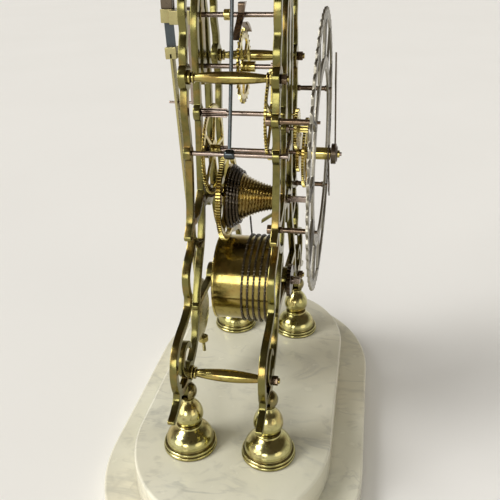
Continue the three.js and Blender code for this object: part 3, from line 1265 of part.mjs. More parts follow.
function makeHammer() {
  const [, hammerZ] = hammerAt;
  const group = axisGroup(HAMMER_X, 0, hammerZ);
  const arbor = spindle([[HAMMER_FRONT, ARBOR_R], [shoulder, PIVOT_R]], pivotBack);
  const tailLine = [MINUTE_POST_X - HAMMER_X, MINUTE_POST_Z - hammerZ];
  const tailReach = Math.hypot(...tailLine) - STRIKE_PIN_RING - STRIKE_PIN_R - TURNED_GAP;
  const tailTurn = THREE.MathUtils.radToDeg(Math.atan2(tailLine[1], tailLine[0]));
  const tail = box(0, tailReach, HAMMER_TAIL_FRONT, HAMMER_TAIL_BACK, -HAMMER_TAIL_HALF, HAMMER_TAIL_HALF)
    .rotate([0, -tailTurn, 0]);
  place(group, 'hammer_arbor', arbor.add(tail), 'steel');

  const headTip = -BELL_R - BELL_GAP - HAMMER_X;
  const headZ = FRAME_TOP_Z + HAMMER_HEAD_RISE - hammerZ;
  const headX = headTip - HAMMER_HEAD_L / 2;
  const spine = STEM_SHARES.map(([x, z]) => new THREE.Vector2(x * HAMMER_BEND, z * headZ));
  spine[spine.length - 1].set(headX, headZ);
  const half = HAMMER_STEM_R;
  const stem = ribbon(spine, half, half, HAMMER_Y - half, HAMMER_Y + half);
  const head = turnedZ([[0, -HAMMER_HEAD_L / 2], [HAMMER_HEAD_R, -HAMMER_HEAD_L / 2],
    [HAMMER_HEAD_R, HAMMER_HEAD_L / 2], [0, HAMMER_HEAD_L / 2]], 2 * HAMMER_SIDES)
    .rotate([0, quarterTurn, 0]).translate([headX, HAMMER_Y, headZ]);
  const block = box(-HAMMER_BLOCK_HALF, HAMMER_BLOCK_HALF, HAMMER_Y - HAMMER_BLOCK_T / 2,
    HAMMER_Y + HAMMER_BLOCK_T / 2, -HAMMER_BLOCK_HALF, 2 * HAMMER_BLOCK_HALF);
  const boreCut = upright(boreNgon(ARBOR_R + SEAT, ARBOR_SIDES), HAMMER_Y - HAMMER_BLOCK_T,
    HAMMER_Y + HAMMER_BLOCK_T);
  place(group, 'hammer', unite([stem, head, block]).subtract(boreCut), 'brass');
}

function makeBell() {
  const rimZ = FRAME_TOP_Z + BELL_RIM_RISE;
  const wall = BELL_WALL;
  const boreR = boreCorner(BELL_POST_R + SEAT, BELL_SIDES);
  const bell = turnedZ([
    [boreR, BELL_H],
    ...BELL_SHARES.map(([r, h]) => [r * BELL_R, h * BELL_H]),
    [BELL_R - wall, 0],
    ...BELL_SHARES.slice(0, -1).reverse().map(([r, h]) => [r * BELL_R - wall, h * BELL_H - wall]),
    [boreR, BELL_H - wall],
    [boreR, BELL_H],
  ], BELL_SIDES);
  place(clock, 'bell', bell, 'bellMetal').position.set(0, 0, rimZ);

  const armBottom = FRAME_TOP_Z + STRIP_HALF + BELL_ARM_GAP;
  const armTop = armBottom + BELL_ARM_T;
  const footBack = PLATE_OUTER + SEAT + BELL_ARM_T;
  const foot = box(-BELL_ARM_HALF, BELL_ARM_HALF, PLATE_OUTER + SEAT, footBack,
    FRAME_TOP_Z - BELL_FOOT_DROP, armTop);
  const arm = box(-BELL_ARM_HALF, BELL_ARM_HALF, -BELL_ARM_HALF, footBack, armBottom, armTop);
  const seatZ = rimZ + BELL_H - BELL_WALL - SEAT;
  const postTop = rimZ + BELL_H + BELL_NUT_T + SEAT;
  const post = turnedZ([[0, armBottom], [2 * BELL_POST_R, armBottom], [2 * BELL_POST_R, seatZ],
    [BELL_POST_R, seatZ], [BELL_POST_R, postTop], [0, postTop]], ARBOR_SIDES);
  place(clock, 'bell_stand', unite([foot, arm, post]), 'steel');
  const nutBore = boreCorner(BELL_POST_R + SEAT);
  const nutFoot = rimZ + BELL_H + SEAT;
  const nut = turnedZ([[nutBore, nutFoot], [BELL_NUT_R, nutFoot], [BELL_NUT_R, nutFoot + BELL_NUT_T],
    [nutBore, nutFoot + BELL_NUT_T], [nutBore, nutFoot]], ARBOR_SIDES);
  place(clock, 'bell_nut', nut, 'brass');
}

makeBase();
makeFeet();
makePlates();
makePillars();
makeCentre();
makeThird();
makeEscape();
makeFusee();
makeChain();
makeBarrel();
makeStop();
makePallets();
makeCock();
makePendulum();
makeMotionWork();
makeHands();
makeDial();
makeHammer();
makeBell();

export default clock;
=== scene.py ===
import json
import math

import bmesh
import bpy
import numpy as np
from mathutils import Matrix, Vector
from mathutils.geometry import tessellate_polygon

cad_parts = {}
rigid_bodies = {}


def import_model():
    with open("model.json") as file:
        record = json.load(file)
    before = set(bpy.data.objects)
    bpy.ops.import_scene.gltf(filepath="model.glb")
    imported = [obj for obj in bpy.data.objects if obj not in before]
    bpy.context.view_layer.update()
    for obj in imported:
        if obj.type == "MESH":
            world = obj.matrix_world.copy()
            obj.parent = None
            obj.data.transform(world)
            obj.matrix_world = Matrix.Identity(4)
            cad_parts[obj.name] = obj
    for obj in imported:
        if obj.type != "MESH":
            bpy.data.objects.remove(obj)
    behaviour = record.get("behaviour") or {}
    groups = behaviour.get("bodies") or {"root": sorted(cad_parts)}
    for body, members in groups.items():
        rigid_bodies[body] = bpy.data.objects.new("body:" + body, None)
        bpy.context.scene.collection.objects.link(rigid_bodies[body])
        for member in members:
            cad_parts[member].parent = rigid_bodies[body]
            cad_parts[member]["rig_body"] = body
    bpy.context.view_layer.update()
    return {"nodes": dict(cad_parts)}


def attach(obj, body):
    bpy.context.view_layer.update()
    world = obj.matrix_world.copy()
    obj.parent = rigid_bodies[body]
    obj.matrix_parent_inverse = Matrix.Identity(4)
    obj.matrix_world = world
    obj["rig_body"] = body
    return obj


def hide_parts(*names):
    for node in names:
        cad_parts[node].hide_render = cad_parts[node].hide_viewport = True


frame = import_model()
MM = 0.001


def new_object(name, data):
    made = bpy.data.objects.new(name, data)
    bpy.context.collection.objects.link(made)
    return made


def mesh_object(name, verts, faces):
    mesh = bpy.data.meshes.new(name)
    mesh.from_pydata(verts, [], faces)
    return new_object(name, mesh)


# Camera, fitted to points of the photograph

camera = new_object("camera", bpy.data.cameras.new("camera"))
camera.matrix_world = Matrix((
    (0.17997, 0.42958, -0.88491, -0.391063),
    (-0.98354, 0.06389, -0.16902, -0.076535),
    (-0.01607, 0.90076, 0.43401, 0.340929),
    (0, 0, 0, 1),
))
camera.data.sensor_width = 36
camera.data.lens = 45.98
camera.data.clip_start = 0.01
bpy.context.scene.camera = camera
bpy.context.scene.view_settings.view_transform = "Standard"

# Materials. Colours are linear, and noise scales are per metre

BLACK, WHITE = (0, 0, 0), (1, 1, 1)


class Tree:
    """The shader nodes of the world or of a material."""

    def __init__(self, tree):
        self.tree = tree

    def add(self, kind, inputs=(), **settings):
        """A node; each input is a value or the output of another node."""
        node = self.tree.nodes.new("ShaderNode" + kind)
        for name, setting in settings.items():
            setattr(node, name, setting)
        for name, value in dict(inputs).items():
            target = node.inputs[name]
            if isinstance(value, bpy.types.NodeSocket):
                self.tree.links.new(value, target)
            else:
                target.default_value = (*value, 1) if target.type == "RGBA" else value
        return node

    def calculate(self, operation, *values):
        return self.add("Math", enumerate(values), operation=operation).outputs[0]

    def ramp(self, value, low, high, first=BLACK, last=WHITE):
        node = self.add("ValToRGB", {"Fac": value})
        for element, position, colour in zip(node.color_ramp.elements, (low, high), (first, last)):
            element.position = position
            element.color = (*colour, 1)
        return node.outputs["Color"]

    def blend(self, factor, first, second, strength=1.0):
        if strength < 1:
            factor = self.calculate("MULTIPLY", factor, strength)
        inputs = {"Factor": factor, "A": first, "B": second}
        return self.add("Mix", inputs, data_type="RGBA").outputs["Result"]


class Look(Tree):
    """A material whose noise is read in the object's own place, in metres."""

    def __init__(self, name):
        self.material = bpy.data.materials.new(name)
        self.material.use_nodes = True
        super().__init__(self.material.node_tree)
        self.shader = self.tree.nodes["Principled BSDF"]
        self.place = self.add("TexCoord").outputs["Object"]

    def noise(self, scale, detail=6, distortion=0.0, stretch=None):
        place = self.place
        if stretch:
            place = self.add("Mapping", {"Vector": place, "Scale": stretch}).outputs["Vector"]
        inputs = {"Vector": place, "Scale": scale, "Detail": detail, "Distortion": distortion}
        return self.add("TexNoise", inputs).outputs["Fac"]

    def finish(self, colour, smears, rough, grain=None, strength=0.0, depth=0.0):
        """Feeds the shader. rough is the pair of limits of its roughness, and depth is in metres."""
        self.tree.links.new(colour, self.shader.inputs["Base Color"])
        limits = {"From Min": 0.3, "From Max": 0.7, "To Min": rough[0], "To Max": rough[1]}
        roughness = self.add("MapRange", {"Value": smears, **limits})
        self.tree.links.new(roughness.outputs["Result"], self.shader.inputs["Roughness"])
        if grain is not None:
            bump = self.add("Bump", {"Strength": strength, "Distance": depth, "Height": grain})
            self.tree.links.new(bump.outputs["Normal"], self.shader.inputs["Normal"])
        return self.material


# Noise scales of metal, the pointiness at its edges, and the reach of the painted shade and grime in
# corners, and the depth of lines, in metres
TONING, BLUSHES, STAINS, SMEARS, TOOL_LINES = 38, 70, 260, 140, 1700
RAISED, HOLLOW = (0.515, 0.56), (0.44, 0.492)
SHADE_AND_GRIME_REACH, LINE_DEPTH = 0.004, 0.00005

# Tool lines: filed along y, turned about y or z, or drawn along z
FILED, TURNED_Y, TURNED_Z, DRAWN = (1, 0.35, 1), (1, 6, 1), (1, 1, 6), (1, 1, 0.3)


def metal(name, light, dark, tarnish, blush, rough, lines=(1, 1, 1), bump=0.12, stains=0.7, shade_and_grime=0.8,
          wear=1.25, flush=0.55, browned=None):
    """Handled metal: toning, blushes of oxide, stains, worn edges, painted shade with grime in corners and
    between parts, and fine tool lines. It browns from the first to the second height that browned gives, in
    metres."""
    look = Look(name)
    look.shader.inputs["Metallic"].default_value = 1
    tone = look.blend(look.ramp(look.noise(TONING, 5, 0.4), 0.32, 0.68), dark, light)
    tone = look.blend(look.ramp(look.noise(BLUSHES, 4, 0.6), 0.5, 0.66), tone, blush, flush)
    tone = look.blend(look.ramp(look.noise(STAINS, 8, 0.8), 0.54, 0.74), tone, tarnish, stains)
    edges = look.add("NewGeometry").outputs["Pointiness"]
    bright = tuple(min(1.0, c * wear) for c in light)
    tone = look.blend(look.ramp(edges, *RAISED), tone, bright, 0.6)
    tone = look.blend(look.ramp(edges, *HOLLOW, WHITE, BLACK), tone, tarnish, 0.75)
    # Painted shade: ambient occlusion darkens corners and the gaps between parts toward the tarnish colour,
    # standing in for shade as well as grime
    corners = look.add("AmbientOcclusion", {"Distance": SHADE_AND_GRIME_REACH}, samples=6).outputs["AO"]
    tone = look.blend(look.ramp(corners, 0.25, 0.85, WHITE, BLACK), tone, tarnish, shade_and_grime)
    if browned:
        height = look.add("SeparateXYZ", {"Vector": look.place}).outputs["Z"]
        tone = look.blend(look.ramp(height, *browned), tone, tarnish, 0.7)
    grain = look.noise(TOOL_LINES, 4, 0.0, lines)
    return look.finish(tone, look.noise(SMEARS, 7, 0.3), rough, grain, bump, LINE_DEPTH)


# Veins: noise scale, width as a share of the noise, colour and strength
VEINS = ((9, 0.02, (0.40, 0.41, 0.37), 0.55),
         (26, 0.045, (0.43, 0.43, 0.38), 0.55),
         (60, 0.06, (0.47, 0.46, 0.39), 0.45))


def marble():
    """Clouded cream with three sizes of grey veins, which come and go, and warm patches."""
    look = Look("marble_polished")
    cloud = look.ramp(look.noise(13, 7, 0.8), 0.32, 0.68)
    ground = look.blend(cloud, (0.665, 0.645, 0.515), (0.80, 0.78, 0.645))
    for scale, width, grey, strength in VEINS:
        off_middle = look.calculate("SUBTRACT", look.noise(scale, 9, 1.4, (1, 0.5, 1)), 0.5)
        vein = look.ramp(look.calculate("ABSOLUTE", off_middle), 0.0, width, WHITE, BLACK)
        patch = look.ramp(look.noise(scale * 0.9, 3, 0.5), 0.5, 0.62)
        ground = look.blend(look.calculate("MULTIPLY", vein, patch), ground, grey, strength)
    warm = look.ramp(look.noise(7, 4), 0.46, 0.72)
    colour = look.blend(warm, ground, (0.75, 0.67, 0.49), 0.5)
    return look.finish(colour, look.noise(90), (0.14, 0.28), look.noise(420), 0.08, 0.0001)


def wax():
    look = Look("numeral_wax")
    colour = look.blend(look.noise(300), (0.012, 0.011, 0.01), (0.05, 0.045, 0.04))
    return look.finish(colour, look.noise(500), (0.4, 0.65), look.noise(1500), 0.2, 0.00004)


# Looks of the material slots, then of single pieces. A metal's colours are light, dark, tarnish and blush
looks = {
    "marble": marble(),
    "frame_brass": metal(
        "frame_brass_filed", (0.21, 0.19, 0.066), (0.085, 0.076, 0.022), (0.04, 0.025, 0.009),
        (0.32, 0.175, 0.045), (0.13, 0.27), FILED, wear=1.35, flush=0.75),
    "brass": metal(
        "brass_polished", (0.69, 0.59, 0.22), (0.42, 0.34, 0.09), (0.11, 0.07, 0.02),
        (0.52, 0.33, 0.09), (0.08, 0.19), TURNED_Y),
    "pale_brass": metal(
        "pale_brass_polished", (0.62, 0.59, 0.30), (0.40, 0.37, 0.14), (0.11, 0.075, 0.03),
        (0.55, 0.40, 0.15), (0.12, 0.26), TURNED_Z, bump=0.08, browned=(0.077, 0.082)),
    "bell_metal": metal(
        "bell_metal_polished", (0.70, 0.58, 0.28), (0.48, 0.37, 0.15), (0.2, 0.13, 0.06),
        (0.6, 0.4, 0.17), (0.1, 0.2), TURNED_Z),
    "silvered_brass": metal(
        "silvered_matt", (0.38, 0.36, 0.30), (0.20, 0.185, 0.145), (0.11, 0.095, 0.07),
        (0.34, 0.31, 0.24), (0.26, 0.44), bump=0.25, stains=0.8),
    "steel": metal(
        "steel_polished", (0.40, 0.33, 0.285), (0.18, 0.13, 0.10), (0.08, 0.045, 0.03),
        (0.36, 0.22, 0.15), (0.14, 0.3), TURNED_Y),
    "dark_steel": metal(
        "steel_oiled", (0.14, 0.115, 0.085), (0.06, 0.045, 0.03), (0.03, 0.018, 0.01),
        (0.13, 0.075, 0.04), (0.2, 0.38)),
    "blue_steel": metal(
        "steel_blued", (0.085, 0.10, 0.107), (0.042, 0.052, 0.058), (0.035, 0.028, 0.02),
        (0.085, 0.07, 0.06), (0.16, 0.3), DRAWN),
    "numeral_wax": wax(),
    "pillar": metal(
        "pillar_brass_turned", (0.50, 0.42, 0.15), (0.28, 0.225, 0.065), (0.08, 0.05, 0.017),
        (0.44, 0.27, 0.08), (0.1, 0.22), TURNED_Y),
    # Its grooves take the most painted shade and grime from ambient occlusion
    "fusee": metal(
        "fusee_brass_grooved", (0.42, 0.32, 0.11), (0.20, 0.145, 0.04), (0.035, 0.022, 0.008),
        (0.34, 0.20, 0.06), (0.12, 0.24), TURNED_Y, shade_and_grime=0.95),
    "bob": metal(
        "bob_brass_dull", (0.42, 0.375, 0.18), (0.25, 0.22, 0.09), (0.09, 0.06, 0.025),
        (0.40, 0.28, 0.13), (0.18, 0.32), TURNED_Y, stains=0.3),
    "brown_steel": metal(
        "steel_browned", (0.25, 0.185, 0.13), (0.12, 0.085, 0.055), (0.05, 0.03, 0.018),
        (0.20, 0.12, 0.065), (0.14, 0.3)),
    "chain": metal(
        "chain_oiled", (0.095, 0.08, 0.06), (0.045, 0.035, 0.025), (0.02, 0.013, 0.008),
        (0.09, 0.055, 0.03), (0.2, 0.38)),
}

# Shapes. A part is a list of corners in millimetres and a list of faces. An outline is a list of [x, z]

# The most of a side that rounding a corner may take, and the depth at which the rear pivots end
SIDE_SHARE = 0.45
PIVOT_END = 28


def around(r, degrees, x=0.0, z=0.0):
    turn = math.radians(degrees)
    return (x + r * math.cos(turn), z + r * math.sin(turn))


def circle_of(count, r):
    return [around(r, 360 * i / count) for i in range(count)]


def soft(points, radius, closed=False, steps=3):
    """The line with each corner rounded off."""
    out = []
    count = len(points)
    for i, corner in enumerate(points):
        if not closed and i in (0, count - 1):
            out.append(corner)
            continue
        ends = []
        for other in (points[i - 1], points[(i + 1) % count]):
            span = math.dist(corner, other)
            share = min(radius, SIDE_SHARE * span) / span if span else 0
            ends.append([c + (o - c) * share for c, o in zip(corner, other)])
        for k in range(steps + 1):
            t = k / steps
            out.append(tuple(s * (1 - t) ** 2 + 2 * c * t * (1 - t) + e * t * t
                             for s, c, e in zip(ends[0], corner, ends[1])))
    return out


def curve(points, steps=8):
    """A smooth line through the points."""
    ends = [points[0], *points, points[-1]]
    out = []
    for four in zip(ends, ends[1:], ends[2:], ends[3:]):
        for k in range(steps):
            t = k / steps
            out.append(tuple(0.5 * (2 * b + (c - a) * t
                                    + (2 * a - 5 * b + 4 * c - d) * t * t
                                    + (3 * b - a - 3 * c + d) * t ** 3) for a, b, c, d in zip(*four)))
    out.append(points[-1])
    return out


def skin(first, second, count):
    """Faces between two rings of corners that start at first and at second."""
    return [[first + i, first + (i + 1) % count, second + (i + 1) % count, second + i] for i in range(count)]


def turned(profile, at=(0, 0), axis="y", steps=72, loop=False):
    """A turned piece from [radius, place along the axis], standing at [x, z] or [x, y, z]."""
    x0, y0, z0 = at if len(at) == 3 else (at[0], 0, at[1])
    verts, rings = [], []
    for r, h in profile:
        count = steps if r > 1e-6 else 1
        rings.append(range(len(verts), len(verts) + count))
        for u, w in circle_of(steps, r)[:count]:
            x, y, z = {"x": (h, w, u), "y": (u, h, w), "z": (u, w, h)}[axis]
            verts.append((x + x0, y + y0, z + z0))
    faces = []
    pairs = list(zip(rings, rings[1:])) + ([(rings[-1], rings[0])] if loop else [])
    for a, b in pairs:
        for i in range(steps):
            j = (i + 1) % steps
            face = list(dict.fromkeys([a[i % len(a)], a[j % len(a)], b[j % len(b)], b[i % len(b)]]))
            if len(face) > 2:
                faces.append(face)
    if not loop:
        faces += [list(ring) for ring in (rings[0], rings[-1]) if len(ring) > 1]
    return verts, faces


def turned_ring(section, ease, at=(0, 0), steps=72, axis="y"):
    """A turned piece with a hole, from its closed section with corners eased."""
    return turned(soft(section, ease, True, 2), at, axis, steps, True)


def tube(y0, y1, r, bore, at, steps=56):
    return turned_ring([(bore, y0), (r, y0), (r, y1), (bore, y1)], 0.2, at, steps)


def peg(y0, y1, r, ease, at, steps):
    return turned(soft([(0, y0), (r, y0), (r, y1), (0, y1)], ease, steps=2), at, steps=steps)


def spindle(stations, at, end=PIVOT_END):
    """A turned arbor: each station is [front, radius], and the last one ends at end."""
    profile = [(0, stations[0][0])]
    for (front, r), (back, _) in zip(stations, stations[1:] + [(end, 0)]):
        profile += [(r, front), (r, back)]
    profile.append((0, end))
    return turned(soft(profile, 0.22, steps=2), at, steps=40)


def area(loop):
    return sum(a[0] * b[1] - b[0] * a[1] for a, b in zip(loop, loop[1:] + loop[:1])) / 2


def inset(loop, gap):
    """The loop moved inward by gap, and at sharp corners by no more than gap / 0.6."""
    p = np.array(loop)
    ahead = np.roll(p, -1, 0) - p
    ahead /= np.maximum(np.linalg.norm(ahead, axis=1, keepdims=True), 1e-9)
    both = ahead + np.roll(ahead, 1, 0)
    normal = np.stack([-both[:, 1], both[:, 0]], 1)
    length = np.linalg.norm(normal, axis=1, keepdims=True)
    normal /= np.maximum(length, 1e-9)
    mitre = 1 / np.maximum(length / 2, 0.6)
    return p + normal * gap * mitre


def plate(loops, y0, y1, edge=0.15, at=(0, 0), steps=2):
    """A flat piece standing in the x-z plane, from an outline and its holes, its long edges rounded."""
    loops = [loop if (area(loop) > 0) == (k == 0) else loop[::-1] for k, loop in enumerate(loops)]
    edge = min(edge, (y1 - y0) * SIDE_SHARE)
    turns = [math.pi / 2 * k / steps for k in range(steps + 1)]
    levels = [(y0 + edge * (1 - math.cos(t)), edge * (1 - math.sin(t))) for t in turns]
    levels += [(y0 + y1 - y, gap) for y, gap in reversed(levels)]
    verts, faces = [], []
    count = sum(len(loop) for loop in loops)
    for y, gap in levels:
        for loop in loops:
            verts += [(x + at[0], y, z + at[1]) for x, z in inset(loop, gap)]
    start = 0
    for _ in levels[1:]:
        for loop in loops:
            faces += skin(start, start + count, len(loop))
            start += len(loop)
    flat = [[Vector((x, z, 0)) for x, z in inset(loop, edge)] for loop in loops]
    caps = tessellate_polygon(flat)
    faces += [list(tri) for tri in caps] + [[i + start for i in tri] for tri in caps]
    return verts, faces


def rect(x0, x1, z0, z1, ease=0.3):
    return soft([(x0, z0), (x1, z0), (x1, z1), (x0, z1)], ease, True, 2)


def block(x0, x1, y0, y1, z0, z1, edge=0.25):
    return plate([rect(x0, x1, z0, z1, edge)], y0, y1, edge)


def moved(part, matrix):
    verts, faces = part
    return [tuple(matrix @ Vector(v)) for v in verts], faces


def swapped(part, *order):
    """The part with its coordinates in another order, such as 0, 2, 1 for a plate laid flat."""
    return [tuple(vert[n] for n in order) for vert in part[0]], part[1]


def clockwise(loops, degrees):
    c, s = math.cos(math.radians(degrees)), math.sin(math.radians(degrees))
    return [[(x * c + z * s, z * c - x * s) for x, z in loop] for loop in loops]


class Field:
    """A flat shape as distances on a grid, below zero inside, in which strips and discs run together."""

    def __init__(self, x0, x1, z0, z1, step):
        self.step = step
        self.x = np.arange(x0, x1 + step, step)
        self.z = np.arange(z0, z1 + step, step)
        self.grid = np.meshgrid(self.x, self.z)
        self.value = np.full(self.grid[0].shape, 50.0)

    def add(self, x0, x1, z0, z1, distance, margin=0.0):
        """Adds a shape, reckoned only within the box and a little around it."""
        margin += 3 * self.step
        rows = slice(*np.searchsorted(self.z, [min(z0, z1) - margin, max(z0, z1) + margin]))
        columns = slice(*np.searchsorted(self.x, [min(x0, x1) - margin, max(x0, x1) + margin]))
        far = distance(*np.meshgrid(self.x[columns], self.z[rows]))
        self.value[rows, columns] = np.minimum(self.value[rows, columns], far)

    def strip(self, points, halves):
        """A line whose half width goes from each of the halves to the next."""
        for (ax, az), (bx, bz), start, end in zip(points, points[1:], halves, halves[1:]):
            dx, dz = bx - ax, bz - az

            def distance(x, z):
                t = np.clip(((x - ax) * dx + (z - az) * dz) / max(dx * dx + dz * dz, 1e-9), 0, 1)
                return np.hypot(x - ax - t * dx, z - az - t * dz) - (start + (end - start) * t)

            self.add(ax, bx, az, bz, distance, max(start, end))

    def disc(self, x0, z0, r):
        self.add(x0 - r, x0 + r, z0 - r, z0 + r, lambda x, z: np.hypot(x - x0, z - z0) - r)

    def polygon(self, points):
        """A polygon without hollow corners."""
        xs, zs = zip(*points)
        if area(points) < 0:
            points = points[::-1]

        def distance(x, z):
            return np.max([((x - ax) * (bz - az) - (z - az) * (bx - ax)) / math.hypot(bx - ax, bz - az)
                           for (ax, az), (bx, bz) in zip(points, points[1:] + points[:1])], 0)

        self.add(min(xs), max(xs), min(zs), max(zs), distance)

    def band(self, inner, outer, swell=0.0, scallops=0):
        """A ring about the origin, its outer edge swelling out in scallops."""
        x, z = self.grid
        r = np.hypot(x, z)
        edge = outer + swell * np.abs(np.cos(scallops / 2 * np.arctan2(z, x))) ** 1.5
        self.value = np.minimum(self.value, np.maximum(inner - r, r - edge))

    def cut_disc(self, x0, z0, r):
        x, z = self.grid
        self.value = np.maximum(self.value, r - np.hypot(x - x0, z - z0))

    def loops(self):
        """The outlines, the outer one first: each is followed from one crossed grid line to the next."""
        value = self.value
        inside = value < 0
        corners = [inside[:-1, :-1], inside[:-1, 1:], inside[1:, 1:], inside[1:, :-1]]
        covered = sum(c.astype(int) for c in corners)
        onward, spots = {}, {}
        for i, j in np.argwhere((covered > 0) & (covered < 4)):
            ring = [(i, j), (i, j + 1), (i + 1, j + 1), (i + 1, j)]
            crossed = []
            for a, b in zip(ring, ring[1:] + ring[:1]):
                if inside[a] != inside[b]:
                    key = (min(a, b), max(a, b))
                    t = value[a] / (value[a] - value[b])
                    spots[key] = (self.x[a[1]] + (self.x[b[1]] - self.x[a[1]]) * t,
                                  self.z[a[0]] + (self.z[b[0]] - self.z[a[0]]) * t)
                    crossed.append((key, inside[a]))
            way = 1 if sum(value[c] for c in ring) < 0 else -1
            for k, (key, leaving) in enumerate(crossed):
                if leaving:
                    onward[key] = crossed[(k + way) % len(crossed)][0]
        found = []
        while onward:
            key, to = onward.popitem()
            loop = [spots[key]]
            while to in onward:
                if math.dist(loop[-1], spots[to]) > 0.35 * self.step:
                    loop.append(spots[to])
                to = onward.pop(to)
            if len(loop) > 6:
                p = np.array(loop)
                p = p * 0.5 + (np.roll(p, 1, 0) + np.roll(p, -1, 0)) * 0.25
                found.append([tuple(q) for q in p])
        return sorted(found, key=lambda one: -area(one))


# Toothed shapes. A tooth is a list of [share of the pitch, share of the height]

WHEEL_TOOTH = [(-0.5, 0), (-0.25, 0.02), (-0.2, 0.45), (-0.12, 0.85), (0, 1), (0.12, 0.85), (0.2, 0.45),
               (0.25, 0.02)]
LEAF = [(-0.5, 0), (-0.22, 0.02), (-0.2, 0.6), (-0.11, 0.93), (0, 1), (0.11, 0.93), (0.2, 0.6), (0.22, 0.02)]
ESCAPE_TOOTH = [(-0.46, 0), (-0.25, 0.28), (-0.08, 0.74), (0, 1), (0.05, 0.97), (0.1, 0.4), (0.2, 0.04)]
RATCHET_TOOTH = [(-0.9, 0), (-0.45, 0.47), (-0.02, 0.98), (0, 1), (0.02, 0.9)]
SPOKES, SPOKE_HALF, RIM = 5, 1.1, 2.6
LEAF_RISE = 0.55


def toothed(count, root, tip, tooth, phase):
    return [around(root + (tip - root) * rise, phase + 360 * (i + share) / count)
            for i in range(count) for share, rise in tooth]


def windows(hub, rim, phase):
    """The windows between a wheel's arms."""
    out = []
    for k in range(SPOKES):
        arc = []
        for r, way in ((rim, 1), (hub, -1)):
            margin = math.degrees(math.asin(SPOKE_HALF / r))
            start = phase + 360 * k / SPOKES + margin
            angles = [start + (360 / SPOKES - 2 * margin) * i / 14 for i in range(15)]
            arc += [around(r, a) for a in angles[::way]]
        out.append(soft(arc, 0.9, True, 2))
    return out


def wheel(teeth, module, phase, depth, bore, at, hub=None, tip=0.8):
    """A wheel; without a hub's radius it has no windows."""
    r = teeth * module / 2
    root = r - 1.35 * module
    holes = [circle_of(28, bore)] + (windows(hub, root - RIM, phase) if hub else [])
    outline = toothed(teeth, root, r + tip * module, WHEEL_TOOTH, phase)
    return plate([outline, *holes], *depth, 0.08, at)


def pinion(leaves, module, phase, depth, at):
    r = leaves * module / 2
    outline = toothed(leaves, r - 1.3 * module, r + LEAF_RISE * module, LEAF, phase)
    return plate([outline], *depth, 0.1, at)


def meshed(start, to, from_teeth, to_teeth, phase):
    """The phase at which the wheel at to has a gap where the one at start has a tooth."""
    line = math.degrees(math.atan2(to[1] - start[1], to[0] - start[0]))
    return line + 180 - (phase - line) * from_teeth / to_teeth + 180 / to_teeth


# Pieces

def piece(node, slot, *parts, name=None, look=None, sharp=38, carve=()):
    """Makes an object that takes a CAD node's place, on that node's body."""
    verts, faces = [], []
    for more, their in parts:
        start = len(verts)
        verts += [(x * MM, y * MM, z * MM) for x, y, z in more]
        faces += [[i + start for i in face] for face in their]
    made = mesh_object(name or node + "_fine", verts, faces)
    bm = bmesh.new()
    bm.from_mesh(made.data)
    bmesh.ops.remove_doubles(bm, verts=bm.verts, dist=1e-8)
    bmesh.ops.recalc_face_normals(bm, faces=bm.faces)
    bm.to_mesh(made.data)
    bm.free()
    for low, high in carve:
        cut_box(made, low, high)
    made.data.materials.clear()
    made.data.materials.append(looks[look or slot])
    made.data.shade_smooth()
    made.data.set_sharp_from_angle(angle=math.radians(sharp))
    normals = made.modifiers.new("even_normals", "WEIGHTED_NORMAL")
    normals.keep_sharp = True
    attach(made, frame["nodes"][node]["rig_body"])
    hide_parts(node)
    return made


def cut_box(made, low, high):
    corners = [Vector([(low, high)[k >> n & 1][n] * MM for n in range(3)]) for k in range(8)]
    quads = [(0, 2, 3, 1), (4, 5, 7, 6), (0, 1, 5, 4), (2, 6, 7, 3), (0, 4, 6, 2), (1, 3, 7, 5)]
    cutter = mesh_object("cutter", corners, quads)
    cut = made.modifiers.new("cut", "BOOLEAN")
    cut.operation = "DIFFERENCE"
    cut.solver = "EXACT"
    cut.object = cutter
    bpy.context.view_layer.update()
    result = bpy.data.meshes.new_from_object(made.evaluated_get(bpy.context.evaluated_depsgraph_get()))
    made.modifiers.clear()
    made.data = result
    bpy.data.objects.remove(cutter)


# Places, in millimetres: [x to the right, z up from the table]. y goes from the front to the rear

CENTRE = (0.0, 220.22)
THIRD = (-14.5, 247.7063)
ESCAPE = (0.0, 272.9999)
PALLET = (0.0, 302.6999)
FUSEE = (0.0, 188.5)
BARREL = (0.0, 128.0)
MINUTE = (-13.8, 239.1176)
HAMMER = (-41.0, 230.0)
UPPER_PILLAR = (39.494, 273.4965)
LOWER_PILLAR = (71.501, 94.9895)
SIDES = (("left", -1), ("right", 1))
DIAL_POSTS = {f"{level}_{name}": (side * x, z) for name, side in SIDES
              for level, x, z in (("upper", 45.53, 251.51), ("lower", 42.14, 184.48))}

# Depths of the frames' faces, of what sits on the outer one and of the arbors' shoulders; the frames' foot
INNER, OUTER, SEATED, SHOULDER = 24.0, 28.4, 28.45, 23.75
FRAME_Z = 81.0

# Marble base: two slabs with rounded ends, their edges eased

STRAIGHT_HALF, END_R, BASE_HALF_Y = 60, 78, 66
STEP_Z, BASE_TOP = 18, 40


def slab(grow_x, grow_y, z0, z1):
    outline = []
    for side in (1, -1):
        for i in range(73):
            turn = math.radians(-90 + 180 * i / 72)
            outline.append((side * (STRAIGHT_HALF + (END_R + grow_x) * math.cos(turn)),
                            side * (BASE_HALF_Y + grow_y) * math.sin(turn)))
    return swapped(plate([outline], z0, z1, 1.8, steps=4), 0, 2, 1)


piece("base_lower_slab", "marble", slab(21.28, 22, 0, STEP_Z))
piece("base_upper_slab", "marble", slab(0, 0, STEP_Z, BASE_TOP))

# Feet: turned, a slot across the knob for the frame's toe

